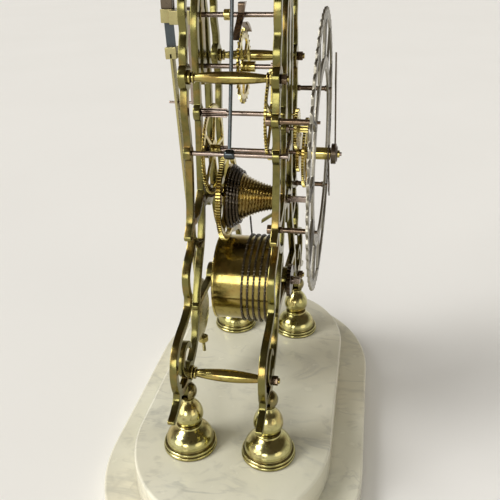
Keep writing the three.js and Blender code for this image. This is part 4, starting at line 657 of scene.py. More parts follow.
FOOT_X, FOOT_Y = 75.999, 26.2
SLOT_HALF, ABOVE_FOOT = 2.25, 92.0
foot_profile = (
    [(0, 0)] + soft([(16.7, 0), (17.6, 0.5), (17.6, 2.1), (16.9, 2.7)], 0.7)
    + soft([(16.4, 2.8), (17.1, 3.3), (17.1, 4.7), (16.2, 5.2)], 0.6)
    + [(15.5, 5.3), (15.3, 5.8)]
    + curve([(15.6, 6.4), (15.2, 8.6), (14, 11.2), (11.8, 13.6), (9.2, 15.4), (7.8, 16.6)])
    + soft([(7.7, 17), (8.5, 17.3), (8.5, 18.5), (7.6, 18.9)], 0.4)
    + curve([(6.9, 19.2), (7.8, 20.6), (9.2, 23.4), (9.6, 26.4), (8.9, 29.8), (7.2, 33), (5, 35.6),
             (3.9, 37.2)])
    + soft([(3.8, 37.5), (4.6, 37.8), (4.6, 38.6), (3.9, 38.9)], 0.3)
    + curve([(4.2, 39.2), (5.6, 40.6), (6.3, 42.8), (6.2, 45), (5.2, 47.2), (3.4, 48.7), (1.6, 49.15),
             (0, 49.2)])
)
for side_name, side in SIDES:
    for end_name, end in (("front", -1), ("rear", 1)):
        x, y = side * FOOT_X, end * FOOT_Y
        piece(f"foot_{end_name}_{side_name}", "pale_brass", turned(foot_profile, (x, y, BASE_TOP), "z", 96),
              carve=[((x - 9, y - SLOT_HALF, FRAME_Z), (x + 9, y + SLOT_HALF, ABOVE_FOOT))])

# Scroll frames. Their lines are in thousandths of the half width, and of the height over their foot

FRAME_HALF_W, FRAME_H = 98.0, 245.0
THICK_HALF, THIN_HALF, BOSS_R = 2.4, 1.7, 7.5
UPPER_SCROLL = [(0, 1000), (204, 996), (347, 959), (378, 918), (367, 882), (408, 837)]
SIDE_SCROLL = [(439, 710), (418, 649), (413, 567), (439, 485), (469, 433), (531, 405)]
C_SCROLL = [(459, 444), (449, 396), (500, 364), (582, 343), (633, 315), (633, 282), (612, 258)]
LEG = [(612, 258), (643, 228), (735, 209), (857, 196), (949, 176), (1000, 138), (995, 98), (949, 61),
       (860, 47)]
TOE = [(960, 78), (990, 45), (1060, 29), (1120, 23)]
INNER_STRIP = [(30, 988), (92, 935), (133, 882), (138, 812), (143, 730), (143, 649), (158, 559), (173, 477),
               (189, 405), (245, 339), (337, 282), (408, 228), (469, 168), (510, 119), (582, 86)]
CURL = [(816, 78), (857, 110), (816, 143), (735, 147), (684, 127)]
UPPER_LINK = [(173, 477), (265, 444), (367, 428), (459, 436)]
LOWER_LINK = [(449, 388), (367, 356), (250, 339)]

# Bosses on the middle line with their radii, and how far cross strips reach from it
BOSSES = ((PALLET, 5.2), (ESCAPE, 5.2), (CENTRE, 6), (FUSEE, 7), (BARREL, 9))
CROSS_STRIPS = ((CENTRE, 15.5), (FUSEE, 17.8), (BARREL, 45))


def in_frame(shares, side=1):
    return [(side * x / 1000 * FRAME_HALF_W, FRAME_Z + z / 1000 * FRAME_H) for x, z in shares]


def nearest(spot, line):
    """The point of the line that is nearest to the spot."""
    feet = []
    for (ax, az), (bx, bz) in zip(line, line[1:]):
        dx, dz = bx - ax, bz - az
        t = ((spot[0] - ax) * dx + (spot[1] - az) * dz) / (dx ** 2 + dz ** 2)
        t = min(1, max(0, t))
        feet.append((ax + dx * t, az + dz * t))
    return min(feet, key=lambda foot: math.dist(foot, spot))


def frame_outline(front):
    field = Field(-114, 114, 78, 332, 0.5)

    def scroll(points, tip=THICK_HALF):
        line = curve(points, 10)
        count = len(line) - 1
        field.strip(line, [THICK_HALF + (tip - THICK_HALF) * i / count for i in range(count + 1)])

    def tied(spot, r, shares):
        """A boss with a strip to the nearest point of a scroll on its side."""
        field.disc(*spot, r)
        field.strip([spot, nearest(spot, in_frame(shares, math.copysign(1, spot[0])))], [THIN_HALF] * 2)

    for side in (1, -1):
        upper = (side * UPPER_PILLAR[0], UPPER_PILLAR[1])
        lower = (side * LOWER_PILLAR[0], LOWER_PILLAR[1])
        scroll([*in_frame(UPPER_SCROLL, side), upper])
        scroll([upper, *in_frame(SIDE_SCROLL, side)])
        for shares in (C_SCROLL, UPPER_LINK, LOWER_LINK):
            scroll(in_frame(shares, side))
        scroll([*in_frame(LEG, side), lower])
        scroll(in_frame(TOE, side), THIN_HALF)
        scroll([*in_frame(INNER_STRIP, side), lower])
        scroll([lower, *in_frame(CURL, side)], THIN_HALF)
        for spot in (upper, lower):
            field.disc(*spot, BOSS_R)
        field.polygon([(side * 76 + x, z) for x, z in rect(-3.4, 3.4, 81.05, 94.99, 0.6)])
    field.polygon(rect(-3.5, 3.5, 262, 326))
    for spot, r in BOSSES:
        field.disc(*spot, r)
    tied(THIRD, 5.2, INNER_STRIP)
    tied(HAMMER, 4.5, SIDE_SCROLL)
    for (_, z), reach in CROSS_STRIPS:
        field.strip([(-reach, z), (reach, z)], [THICK_HALF] * 2)
    if front:
        for spot in DIAL_POSTS.values():
            tied(spot, 3.8, SIDE_SCROLL if spot[1] > CENTRE[1] else C_SCROLL)
        tied(MINUTE, 3.8, INNER_STRIP)
        field.polygon(rect(-4, 4, 172.9, 188.5))
    return field.loops()


piece("plate_rear", "frame_brass", plate(frame_outline(False), INNER, OUTER, 0.55))
piece("plate_front", "frame_brass", plate(frame_outline(True), -OUTER, -INNER, 0.55))

# Pillars, turned with a long swelling and a ring at each end, their studs and hexagon nuts

PILLAR_END, STUD_R, STUD_END = 23.9, 1.8, 33
NUT_R, NUT_BORE, NUT_FRONT = 3.1, 1.85, -31.85
for level, (px, pz), r in (("upper", UPPER_PILLAR, 3.6), ("lower", LOWER_PILLAR, 4.1)):
    for side_name, side in SIDES:
        neck = 0.62 * r
        half = (soft([(1.12 * r, PILLAR_END), (1.12 * r, 22.5), (0.8 * r, 22.2)], 0.4)
                + [(0.72 * r, 22.0), (0.72 * r, 21.6)]
                + soft([(0.95 * r, 21.4), (0.95 * r, 20.6), (neck, 20.3)], 0.35)
                + curve([(neck, 19.8), (0.8 * r, 14), (0.95 * r, 7), (r, 0)], 6))
        whole = half + [(q, -y) for q, y in half[::-1][1:]]
        rear_stud = [(0, OUTER), (STUD_R, OUTER), (STUD_R, PILLAR_END)]
        front_stud = soft([(STUD_R, -PILLAR_END), (STUD_R, -STUD_END), (0, -STUD_END)], 0.4)
        piece(f"pillar_{level}_{side_name}", "brass",
              turned(rear_stud + whole + front_stud, (side * px, pz), steps=64), look="pillar")
        hexagon = [soft(circle_of(6, NUT_R), 0.25, True, 2), circle_of(24, NUT_BORE)]
        piece(f"pillar_nut_{level}_{side_name}", "dark_steel",
              plate(hexagon, NUT_FRONT, -SEATED, 0.35, (side * px, pz)), look="brown_steel")

# Going train: teeth of the wheels, leaves of the pinions that they drive, and modules

GREAT_TEETH, CENTRE_LEAVES, GREAT_MODULE = 96, 8, 0.61
CENTRE_TEETH, THIRD_LEAVES, CENTRE_MODULE = 84, 7, 0.683
THIRD_TEETH, ESCAPE_LEAVES, THIRD_MODULE = 78, 7, 0.686
MOTION_TEETH, MOTION_MODULE = 36, 0.65
HOUR_TEETH, MINUTE_LEAVES, MINUTE_REACH = 72, 6, 23.4
HOUR_MODULE = 2 * MINUTE_REACH / (HOUR_TEETH + MINUTE_LEAVES)
ESCAPE_TEETH, ESCAPE_ROOT, ESCAPE_TIP, ESCAPE_RIM, ESCAPE_PHASE = 30, 19.2, 22.2, 16.6, 48

great_phase = meshed(CENTRE, FUSEE, CENTRE_LEAVES, GREAT_TEETH, 0)
third_phase = meshed(CENTRE, THIRD, CENTRE_TEETH, THIRD_LEAVES, 0)
escape_leaf_phase = meshed(THIRD, ESCAPE, THIRD_TEETH, ESCAPE_LEAVES, third_phase)
minute_phase = meshed(CENTRE, MINUTE, MOTION_TEETH, MOTION_TEETH, 0)
hour_phase = meshed(MINUTE, CENTRE, MINUTE_LEAVES, HOUR_TEETH, minute_phase)

# Radii of pivots, arbors, the wheels' bores on them, collets and hubs
PIVOT_R, ARBOR_R, ARBOR_BORE, COLLET_R, HUB = 0.9, 1.5, 1.55, 3.2, 6.4


def plain_arbor(at):
    return spindle([(-PIVOT_END, PIVOT_R), (-SHOULDER, ARBOR_R), (SHOULDER, PIVOT_R)], at)


def collet(y0, y1, at):
    return tube(y0, y1, COLLET_R, ARBOR_BORE, at)


piece("centre_arbor", "steel",
      spindle([(-61.5, 1.2), (-SHOULDER, ARBOR_R), (SHOULDER, PIVOT_R)], CENTRE),
      pinion(CENTRE_LEAVES, GREAT_MODULE, 0, (11.25, 16), CENTRE))
piece("centre_wheel", "brass",
      wheel(CENTRE_TEETH, CENTRE_MODULE, 0, (20.4, 21.9), ARBOR_BORE, CENTRE, HUB),
      collet(16.05, 20.45, CENTRE))
piece("third_arbor", "steel", plain_arbor(THIRD),
      pinion(THIRD_LEAVES, CENTRE_MODULE, third_phase, (8, 23.5), THIRD))
piece("third_wheel", "brass",
      wheel(THIRD_TEETH, THIRD_MODULE, third_phase, (-20.1, -18.6), ARBOR_BORE, THIRD, HUB),
      collet(-18.65, -15.4, THIRD))
piece("escape_arbor", "steel", plain_arbor(ESCAPE),
      pinion(ESCAPE_LEAVES, THIRD_MODULE, escape_leaf_phase, (-21.4, -16.8), ESCAPE))
escape_loops = [toothed(ESCAPE_TEETH, ESCAPE_ROOT, ESCAPE_TIP, ESCAPE_TOOTH, ESCAPE_PHASE),
                circle_of(28, ARBOR_BORE), *windows(HUB, ESCAPE_RIM, ESCAPE_PHASE)]
piece("escape_wheel", "brass", plate(escape_loops, -0.8, 0.7, 0.1, ESCAPE), collet(-7.2, -0.75, ESCAPE))
piece("great_wheel", "brass",
      wheel(GREAT_TEETH, GREAT_MODULE, great_phase, (11.5, 14.5), 3.25, FUSEE, 8.6))

# Fusee, its groove cut as one screw in which the chain lies

CONE_BACK, CONE_LENGTH, CONE_TIP_R, CONE_SWELL, CONE_BORE = 11, 30.5, 8.5, 13.1, 3.05
CONE_FRONT = CONE_BACK - CONE_LENGTH
GROOVE_PITCH, GROOVE_DEPTH, GROOVE_FADE = 1.913, 0.85, 0.8
CHAIN_TURNS, CHAIN_BACK = 3.75, 9.4
CHAIN_FRONT = CHAIN_BACK - CHAIN_TURNS * GROOVE_PITCH
DRUM_R = 29.4


def fusee_r(y):
    t = min(1, max(0, (CONE_BACK - y) / CONE_LENGTH))
    return CONE_TIP_R + CONE_SWELL * (1 - t) ** 1.7


# The direction square to the chain's straight run, which touches both drums
chain_leaving = math.degrees(math.asin((DRUM_R - fusee_r(CHAIN_FRONT)) / (FUSEE[1] - BARREL[1])))


def fusee_cone():
    steps, rows = 96, 300
    depths = [CONE_BACK - CONE_LENGTH * row / rows for row in range(rows + 1)]
    verts, faces = [], []
    for y in depths:
        fade = min(1, (CONE_BACK - y) / GROOVE_FADE, (y - CONE_FRONT) / GROOVE_FADE)
        for i in range(steps):
            degrees = 360 * i / steps
            screw = (CHAIN_FRONT - y) / GROOVE_PITCH - (chain_leaving - degrees) / 360
            off = abs(screw - round(screw)) * 2
            r = fusee_r(y) - 0.06 - GROOVE_DEPTH * fade * (1 - off ** 2.2)
            x, z = around(r, degrees, *FUSEE)
            verts.append((x, y, z))
    for row in range(rows):
        faces += skin(row * steps, (row + 1) * steps, steps)
    for row in (0, rows):
        start = len(verts)
        verts += [(x, depths[row], z + FUSEE[1]) for x, z in circle_of(steps, CONE_BORE)]
        faces += skin(row * steps, start, steps)
    faces += skin(len(verts) - 2 * steps, len(verts) - steps, steps)
    return verts, faces


piece("fusee_cone", "brass", fusee_cone(), sharp=60, look="fusee")
piece("fusee_arbor", "steel",
      spindle([(-30, 3), (-SHOULDER, 4.6), (-19.55, 3), (14.75, 6), (19.4, 1.6)], FUSEE),
      plate([rect(-1.7, 1.7, -1.7, 1.7, 0.35)], -44, -OUTER, 0.4, FUSEE))

# Chain of riveted links, from the fusee down to the barrel

LINK_PITCH, LINK_END, LINK_WAIST, RIVET_R, RIVET_HALF = 1.9, 0.72, 0.42, 0.3, 0.62
INNER_LINK, OUTER_LINKS = [(-0.18, 0.18)], [(-0.56, -0.24), (0.24, 0.56)]
BARREL_TURNS, BARREL_CHAIN_BACK, BARREL_CHAIN_FRONT, BARREL_CHAIN_R = 5, 1.2, -18.5, 30.22


def chain_line():
    """Points on the chain, and for each the direction straight out from its drum."""
    points, outs = [], []
    for turns, back, front, drum in ((CHAIN_TURNS, CHAIN_BACK, CHAIN_FRONT, FUSEE),
                                     (BARREL_TURNS, BARREL_CHAIN_BACK, BARREL_CHAIN_FRONT, BARREL)):
        steps = int(turns * 180)
        for i in range(steps + 1):
            y = back + (front - back) * i / steps
            r = fusee_r(y) + LINK_END if drum is FUSEE else BARREL_CHAIN_R
            degrees = chain_leaving + 360 * (turns % 1) - 2 * i
            x, z = around(r, degrees, *drum)
            points.append((x, y, z))
            x, z = around(1, degrees)
            outs.append((x, 0, z))
    return np.array(points), np.array(outs)


def link_outline(half):
    """One plate of a link in the flat: two round ends and a narrow waist."""
    right = [around(LINK_END, a, half) for a in (-70, -35, 0, 35, 70)]
    left = [around(LINK_END, a, -half) for a in (110, 145, 180, 215, 250)]
    return right + [(0, LINK_WAIST)] + left + [(0, -LINK_WAIST)]


def chain():
    points, outs = chain_line()
    along = np.concatenate([[0], np.cumsum(np.linalg.norm(np.diff(points, axis=0), axis=1))])
    count = int(along[-1] / LINK_PITCH)
    stops = np.linspace(0, along[-1], count + 1)
    joints, rays = (np.stack([np.interp(stops, along, values[:, k]) for k in range(3)], 1)
                    for values in (points, outs))
    outline = link_outline(LINK_PITCH / 2)
    rivet = circle_of(6, RIVET_R)
    verts, faces = [], []

    def add(middle, ahead, out, sheet, y0, y1):
        start = len(verts)
        side = np.cross(ahead, out)
        side /= np.linalg.norm(side)
        n = len(sheet)
        for offset in (y0, y1):
            verts.extend(tuple(middle + ahead * u + out * w + side * offset) for u, w in sheet)
        faces.extend(skin(start, start + n, n))
        faces.extend([list(range(start, start + n)), list(range(start + n, start + 2 * n))])

    for k in range(count):
        ahead = joints[k + 1] - joints[k]
        ahead /= np.linalg.norm(ahead)
        out = rays[k] + rays[k + 1]
        out -= ahead * out.dot(ahead)
        out /= np.linalg.norm(out)
        for y0, y1 in INNER_LINK if k % 2 else OUTER_LINKS:
            add((joints[k] + joints[k + 1]) / 2, ahead, out, outline, y0, y1)
        add(joints[k], ahead, out, rivet, -RIVET_HALF, RIVET_HALF)
    return verts, faces


piece("fusee_chain", "dark_steel", chain(), look="chain")

# Spring barrel, its ratchet and click

RATCHET_DEPTH = (-31.05, -SEATED)
drum_section = [(3.4, -21.3), (31.2, -21.3), (31.2, -19.9), (DRUM_R, -19.9), (DRUM_R, 18.2), (30.15, 18.2),
                (30.15, 19.6), (27.9, 19.6), (27.9, -19.8), (3.4, -19.8)]
cap_section = [(3.25, 17.8), (27.85, 17.8), (27.85, 19.6), (24.6, 19.6), (24.4, 19.3), (23.9, 19.3),
               (23.7, 19.6), (8, 19.6), (7.8, 19.3), (7.3, 19.3), (7.1, 19.6), (3.25, 19.6)]
piece("barrel_drum", "brass", turned_ring(drum_section, 0.25, BARREL, 160))
piece("barrel_cap", "brass", turned_ring(cap_section, 0.12, BARREL, 128))
piece("barrel_arbor", "steel",
      spindle([(-32.6, 3), (-18.6, 6), (16.6, 3), (SHOULDER, 1.6)], BARREL),
      plate([rect(-2, 2, -2, 2, 0.4)], -37, -OUTER, 0.4, BARREL))
ratchet = [toothed(22, 10.1, 11.5, RATCHET_TOOTH, 0), circle_of(36, 3.05)]
piece("barrel_ratchet", "dark_steel", plate(ratchet, *RATCHET_DEPTH, 0.12, BARREL))
click = Field(-8, 4, -4, 4, 0.1)
click.disc(0, 0, 2.6)
click.strip([(0, 0), (-4.7, 0)], [1.6, 0.7])
piece("barrel_click", "dark_steel", plate(click.loops(), *RATCHET_DEPTH, 0.2, (16.8, BARREL[1])))

# Stop iron and its block

piece("stop_block", "brass", block(-4, 4, -23.95, -20.55, 172.9, 179.9, 0.3))
iron = soft([(-20.5, 179.9), (-20.5, 177.5), (-10.2, 170.2), (-10.2, 172.6)], 0.3, True, 2)
piece("stop_iron", "dark_steel", swapped(plate([iron], -1.4, 1.4, 0.25), 1, 0, 2), look="frame_brass")

# Anchor, its arbor and the crutch. The anchor is drawn about its arbor, the escape wheel below it

ESCAPE_DROP, ANCHOR_R, NIB_ANGLE = 29.7, 27.3, 48
CRUTCH_DROP = 52.5
anchor = Field(-34, 34, -12, 12, 0.2)
spread = NIB_ANGLE + math.degrees(0.7 / 25.6)
arc = [around(ANCHOR_R, 90 - spread + 2 * spread * i / 60, 0, -ESCAPE_DROP) for i in range(61)]
anchor.strip(arc, [1.35 + 0.35 * math.sin(math.pi * i / 60) for i in range(61)])
anchor.polygon(rect(-4.4, 4.4, -2.2, 7.2, 1.2))
for side in (1, -1):
    turn = 90 - side * NIB_ANGLE
    anchor.strip([around(22.95, turn, 0, -ESCAPE_DROP), around(26.6, turn, 0, -ESCAPE_DROP)], [0.4, 0.9])
anchor.cut_disc(0, 0, ARBOR_BORE)
piece("pallets", "steel", plate(anchor.loops(), -2, 2, 0.25, PALLET), look="brown_steel")
piece("pallet_arbor", "steel",
      spindle([(-PIVOT_END, PIVOT_R), (-SHOULDER, ARBOR_R), (37.75, PIVOT_R)], PALLET, 40.6))
piece("pallet_arbor", "brass", tube(7.4, 11, COLLET_R, ARBOR_R, PALLET), name="pallet_collet")
crutch = Field(-6, 6, -56, 6, 0.2)
crutch.disc(0, 0, 4)
crutch.strip([(0, 0), (0, -CRUTCH_DROP)], [1.3, 1.3])
crutch.cut_disc(0, 0, ARBOR_BORE)
piece("crutch", "steel", plate(crutch.loops(), 31.9, 34.1, 0.3, PALLET),
      peg(33, 48.7, 0.8, 0.25, (0, PALLET[1] - CRUTCH_DROP), 24))

# Back cock and the block that holds the pendulum's spring

cock = soft([
    (-13.8, SEATED), (-8.6, SEATED), (-8.6, 38), (8.6, 38), (8.6, SEATED), (13.8, SEATED), (13.8, 41),
    (5, 41), (5, 49), (0.8, 49), (0.8, 42), (-0.8, 42), (-0.8, 49), (-5, 49), (-5, 41), (-13.8, 41),
], 0.35, True, 2)
piece("back_cock", "brass", swapped(plate([cock], 298.3, 306.1, 0.4), 0, 2, 1), look="bob")
block_loop = soft([(-3, 0), (-0.45, 0), (-0.45, 4), (0.45, 4), (0.45, 0), (3, 0), (3, 6), (-3, 6)],
                  0.3, True, 2)
piece("suspension_block", "dark_steel", plate([block_loop], 42, 49, 0.4, (0, 306.15)))

# Pendulum, drawn down from the bend of its spring and leaning a little towards the frame

LEAN, BEND_Y, ROD_HALF, ROD_END, BOB_DROP = 2.6, 45.7, 3.5, -241, 204.9
THREAD_TURNS, THREAD_R, THREAD_DEPTH = 20, 1.3, 0.22
hang = Matrix.Translation((0, BEND_Y, PALLET[1])) @ Matrix.Rotation(math.radians(-LEAN), 4, "X")
piece("suspension_spring", "blue_steel", moved(block(-0.15, 0.15, -3, 3, -20, 3.6, 0.06), hang))
slot_hole = soft([(-1.25, -57.5), (1.25, -57.5), (1.25, -47.5), (-1.25, -47.5)], 0.8, True)
rod_strip = plate([rect(-ROD_HALF, ROD_HALF, -222, -22.1, 0.4), slot_hole], -0.8, 0.8, 0.25)
chop = block(-ROD_HALF, ROD_HALF, -3.6, 3.6, -25.6, -18.6, 0.5)
thread_profile = [(0, ROD_END)]
for i in range(THREAD_TURNS * 4 + 1):
    thread_profile.append((THREAD_R - THREAD_DEPTH * (i % 4 in (1, 2)), ROD_END + 0.25 * i))
thread_profile.append((0, ROD_END + THREAD_TURNS))
thread = turned(thread_profile, axis="z", steps=24)
piece("pendulum_rod", "brass", *[moved(part, hang) for part in (rod_strip, chop, thread)], look="bob")
lens = (curve([(0, -4), (9, -3.75), (16, -2.7), (21, -1.2), (22.7, -0.6)], 5)
        + soft([(23, -0.45), (23, 0.45)], 0.2)
        + curve([(22.7, 0.6), (21, 1.2), (16, 2.7), (9, 3.75), (0, 4)], 5))
bob = piece("pendulum_bob", "brass", turned(lens, steps=128), look="bob", sharp=50,
            carve=[((-3.8, -1.6, -24), (3.8, 1.6, 24))])
bob.data.transform(Matrix.Diagonal((1 / MM, 1 / MM, 1 / MM, 1)))
bob.data.transform(Matrix.Scale(MM, 4) @ hang @ Matrix.Translation((0, 0, -BOB_DROP)))

# Rating nut with knurled rim

nut_section = [(1.75, -232.2), (3.8, -232.2), (3.8, -228.2), (1.75, -228.2)]
nut_verts, nut_faces = turned_ring(nut_section, 0.4, axis="z")
knurled = []
for x, y, z in nut_verts:
    ridge = 1 - 0.035 * (0.5 + 0.5 * math.cos(24 * math.atan2(y, x))) * (math.hypot(x, y) > 3)
    knurled.append((x * ridge, y * ridge, z))
piece("rating_nut", "brass", moved((knurled, nut_faces), hang), look="pillar")

# Motion work. The hour wheel's teeth are short, so that they clear the minute wheel's leaves

MOTION_DEPTH = (-35.6, -33.8)
piece("cannon_wheel", "brass",
      wheel(MOTION_TEETH, MOTION_MODULE, 0, MOTION_DEPTH, 1.4, CENTRE),
      tube(-60.3, -35.5, 2.3, 1.4, CENTRE))
piece("hour_wheel", "brass",
      wheel(HOUR_TEETH, HOUR_MODULE, hour_phase, (-40, -38.2), 2.6, CENTRE, HUB, 0.58),
      tube(-54.6, -39.9, 3.9, 2.6, CENTRE))
piece("minute_post", "steel", spindle([(-43, 1.1), (-30, 2.7)], MINUTE, -SEATED))
leaf_r = MINUTE_LEAVES * HOUR_MODULE / 2
leaf_tip = leaf_r + LEAF_RISE * HOUR_MODULE
leaves = toothed(MINUTE_LEAVES, leaf_r - 0.7 * HOUR_MODULE, leaf_tip, LEAF, minute_phase)
piece("minute_wheel", "brass",
      wheel(MOTION_TEETH, MOTION_MODULE, minute_phase, MOTION_DEPTH, 1.35, MINUTE),
      plate([leaves, circle_of(20, 1.05)], -41.4, -35.5, 0.08, MINUTE),
      peg(-34.7, -30.6, 0.6, 0.2, around(8.5, minute_phase, *MINUTE), 20))


# Hands

def hand(length, bore):
    """A hand pointing up: a round boss, a slender stem, a leaf and a fine tip."""
    field = Field(-8, 8, -8, length + 2, 0.2)
    field.disc(0, 0, 5.6)
    stem = [(0, share * length) for share in (0.62, 0.68, 0.74, 0.79, 0.84, 0.9)]
    field.strip([(0, 4), *stem, (0, length - 0.3)], [1.5, 0.8, 1.3, 2.6, 3.1, 2.1, 0.8, 0.3])
    field.cut_disc(0, 0, bore)
    return field.loops()


boss_section = [(2.35, -58.9), (4.6, -58.9), (5.2, -58.2), (6.4, -58.1), (6.4, -55), (2.35, -55)]
piece("hour_hand", "dark_steel", plate(clockwise(hand(44, 3.95), 147.5), -53.8, -52.9, 0.2, CENTRE))
piece("minute_hand", "dark_steel", plate(clockwise(hand(76, 2.35), -28), -57.9, -57, 0.2, CENTRE),
      turned_ring(boss_section, 0.3, CENTRE, 64))

# Pierced chapter ring, its numerals and minute marks filled with black wax

NUMERALS = ["XII", "I", "II", "III", "IIII", "V", "VI", "VII", "VIII", "IX", "X", "XI"]
LETTER_W, BOLD, FINE = 4.2, 0.95, 0.45
DIAL_DEPTH, MARK_DEPTH = (-49.3, -47.8), (-49.34, -49.2)


def numeral_bars(text, z0, z1, trim=0.0):
    """The bars of a numeral at twelve o'clock, from one radius to another, each side trimmed."""
    wide = LETTER_W / 2 - FINE
    strokes = {
        "I": [(0, 0, BOLD)],
        "V": [(0, -wide, BOLD), (0, wide, FINE)],
        "X": [(wide, -wide, BOLD), (-wide, wide, FINE)],
    }
    bars = []
    for k, letter in enumerate(text):
        x = (k - (len(text) - 1) / 2) * LETTER_W
        for low, high, half in strokes[letter]:
            half -= trim
            bars.append([(x + low - half, z0), (x + low + half, z0),
                         (x + high + half, z1), (x + high - half, z1)])
    return bars


def bar_mark(half, z0, z1, degrees):
    """An upright bar at twelve o'clock, turned by degrees."""
    return clockwise([[(-half, z0), (half, z0), (half, z1), (-half, z1)]], degrees)


dial = Field(-89, 89, -89, 89, 0.4)
dial.band(80.0, 84.6, 2.3, 60)
dial.band(51.5, 59.0)
for hour, text in enumerate(NUMERALS):
    for bar in clockwise(numeral_bars(text, 58, 81), 30 * hour):
        dial.polygon(bar)
for px, pz in DIAL_POSTS.values():
    dial.cut_disc(px, pz - CENTRE[1], 0.95)
piece("chapter_ring", "silvered_brass", plate(dial.loops(), *DIAL_DEPTH, 0.22, CENTRE))

marks = []
for hour, text in enumerate(NUMERALS):
    marks += [[bar] for bar in clockwise(numeral_bars(text, 59.6, 79.4, 0.22), 30 * hour)]
    for z0, z1 in ((58.6, 59.5), (79.5, 80.4)):
        marks.append(bar_mark(len(text) * LETTER_W / 2, z0, z1, 30 * hour))
for minute in range(60):
    marks.append(bar_mark(0.2 if minute % 5 else 0.42, 81.2, 83.8, 6 * minute))
for quarter in range(48):
    marks.append(bar_mark(0.15, 53.2, 55.6, 7.5 * quarter))
for r in (53.1, 55.7, 81.1, 83.9):
    marks.append([circle_of(180, r + 0.1), circle_of(180, r - 0.1)])
piece("chapter_ring", "dark_steel", *[plate(loops, *MARK_DEPTH, 0.02, CENTRE) for loops in marks],
      name="chapter_marks", look="numeral_wax")

post_profile = [
    (0, -51), (0.9, -51), (0.9, -47.75), (2, -47.75), (2, -46.6), (1.55, -46.2), (1.7, -38), (1.55, -30.2),
    (2, -29.8), (2, -SEATED), (1.2, -SEATED), (1.2, -23.95), (2.8, -23.95), (2.8, -20.75), (0, -20.75),
]
for label, post in DIAL_POSTS.items():
    piece(f"dial_post_{label}", "steel", turned(soft(post_profile, 0.2, steps=2), post, steps=40),
          look="brown_steel")

# Passing strike: hammer, bell and bracket

STEM_R, STEM_Y, STEM_X, STEM_H = 1.1, 1.4, 14, 112
BELL_Z, BELL_H, BELL_BORE = 338, 20, 1.95
tail_turn = math.degrees(math.atan2(MINUTE[1] - HAMMER[1], MINUTE[0] - HAMMER[0]))
tail = clockwise([rect(0, 19.29, -1.3, 1.3, 0.6)], -tail_turn)
piece("hammer_arbor", "steel", spindle([(-33, ARBOR_R), (SHOULDER, PIVOT_R)], HAMMER),
      plate(tail, -32.6, -30.9, 0.25, HAMMER))


def bent_rod(line, r, y, sides=16):
    verts, faces = [], []
    for k, (x, z) in enumerate(line):
        a, b = line[max(0, k - 1)], line[min(len(line) - 1, k + 1)]
        span = math.dist(a, b)
        nx, nz = -(b[1] - a[1]) / span, (b[0] - a[0]) / span
        for i in range(sides):
            t = 2 * math.pi * i / sides
            verts.append((x + nx * r * math.cos(t), y + r * math.sin(t), z + nz * r * math.cos(t)))
    last = (len(line) - 1) * sides
    for start in range(0, last, sides):
        faces += skin(start, start + sides, sides)
    faces += [list(range(sides)), list(range(last, last + sides))]
    return verts, faces


stem_line = curve([(29 * x, STEM_H * z) for x, z in ((0, 0.03), (0.25, 0.28), (0.48, 0.55), (0.66, 0.82))]
                  + [(STEM_X, STEM_H)], 16)
stem = moved(bent_rod(stem_line, STEM_R, STEM_Y), Matrix.Translation((HAMMER[0], 0, HAMMER[1])))
collar_section = [(1.55, -1.6), (2.4, -1.6), (2.9, -0.6), (2.9, 3.4), (2.4, 4.4), (1.55, 4.4)]
piece("hammer", "blue_steel", stem, turned_ring(collar_section, 0.3, HAMMER, 40))
head_profile = soft([(0, -4.5), (3.4, -4.5), (4, -3.6), (4, -1), (3.6, -0.6), (3.6, 0.6), (4, 1), (4, 3.9),
                     (3.4, 4.5), (0, 4.5)], 0.3)
head_place = (STEM_X + HAMMER[0], STEM_Y, STEM_H + HAMMER[1])
piece("hammer", "brass", turned(head_profile, head_place, "x", 48), name="hammer_head")

outer = curve([(22, 0), (21.2, 2.6), (20.3, 6), (19, 10.5), (16.6, 15.2), (13, 18.2), (8, 19.7),
               (BELL_BORE, BELL_H)], 6)
inner = [(max(BELL_BORE, r - 1.5), max(0, h - 1.4)) for r, h in outer][::-1]
bell_section = [(BELL_BORE, BELL_H)] + inner[:-1] + [(20.5, 0)] + outer[:-1]
piece("bell", "bell_metal", turned(bell_section, (0, 0, BELL_Z), "z", 128, True))
arm = soft([(-4, 330), (SEATED, 330), (SEATED, 314), (31.45, 314), (31.45, 333), (-4, 333)], 0.5, True, 3)
post = soft([(0, 331), (3.6, 331), (3.6, 335), (2.9, 336), (2.9, 354), (3.6, 355), (3.6, 356.4),
             (1.8, 356.4), (1.8, 361.05), (0, 361.05)], 0.3)
piece("bell_stand", "steel", swapped(plate([arm], -4, 4, 0.35), 1, 0, 2),
      turned(post, axis="z", steps=40))
nut_section = soft([(1.85, 358.05), (3.6, 358.05), (3.6, 359.4), (2.9, 360.6), (2.2, 361.05),
                    (1.85, 361.05)], 0.2, True)
piece("bell_nut", "brass", turned(nut_section, axis="z", steps=48, loop=True))

# The mainspring keeps its CAD shape, and takes its slot's material

mainspring = frame["nodes"]["mainspring"]
mainspring.data.materials.clear()
mainspring.data.materials.append(looks["blue_steel"])

# Studio: a pale floor, a hair below the base, and a sky of its colour

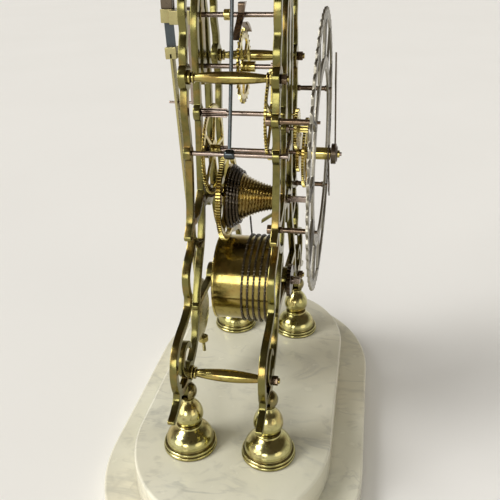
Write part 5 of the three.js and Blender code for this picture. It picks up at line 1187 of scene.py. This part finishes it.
FLOOR_HALF = 60
corners = [(x * FLOOR_HALF, y * FLOOR_HALF, 0) for x, y in ((-1, -1), (1, -1), (1, 1), (-1, 1))]
floor = mesh_object("floor", corners, [(0, 1, 2, 3)])
floor.location.z = -0.0002
floor_look = Look("floor_pale")
floor_colour = floor_look.blend(floor_look.noise(2.5), (0.85, 0.835, 0.805), (0.885, 0.87, 0.845))
floor.data.materials.append(floor_look.finish(floor_colour, floor_look.noise(6), (0.75, 0.9)))


def lamp(name, strength, colour, place, width):
    """A soft distant light that falls from place towards the clock, width degrees across."""
    data = bpy.data.lights.new(name, "SUN")
    data.energy = strength
    data.color = colour
    data.angle = math.radians(width)
    light = new_object(name, data)
    light.location = place
    light.rotation_euler = (Vector((0, 0, 0.2)) - Vector(place)).to_track_quat("-Z", "Y").to_euler()


lamp("key_left", 1.7, (1, 0.99, 0.97), (-0.6, 1.1, 1.5), 24)
lamp("window_left", 0.85, (1, 0.99, 0.97), (-2.25, 2.25, 1.45), 36)
lamp("window_front", 0.55, (1, 0.99, 0.96), (-3.25, 0.5, 1.25), 21)
lamp("window_right", 0.28, (1, 0.9, 0.76), (-2.0, -2.75, 0.95), 31)

# World: an even light, and for camera, glossy and transmission rays a sky that darkens upward

world = bpy.data.worlds.new("studio")
bpy.context.scene.world = world
world.use_nodes = True
world.node_tree.nodes.clear()
studio = Tree(world.node_tree)
ambient = studio.add("Background", {"Color": (0.97, 0.94, 0.87), "Strength": 0.4})
direction = studio.add("TexCoord").outputs["Generated"]
height = studio.add("SeparateXYZ", {"Vector": direction}).outputs["Z"]
sky = studio.ramp(height, 0.1, 0.5, (0.83, 0.806, 0.75), (0.10, 0.08, 0.055))
seen = studio.add("Background", {"Color": sky})
rays = studio.add("LightPath").outputs
chosen = studio.calculate("MAXIMUM", rays["Is Camera Ray"], rays["Is Glossy Ray"])
chosen = studio.calculate("MAXIMUM", chosen, rays["Is Transmission Ray"])
mix = studio.add("MixShader", {0: chosen, 1: ambient.outputs[0], 2: seen.outputs[0]})
studio.add("OutputWorld", {"Surface": mix.outputs[0]})

bpy.context.view_layer.update()
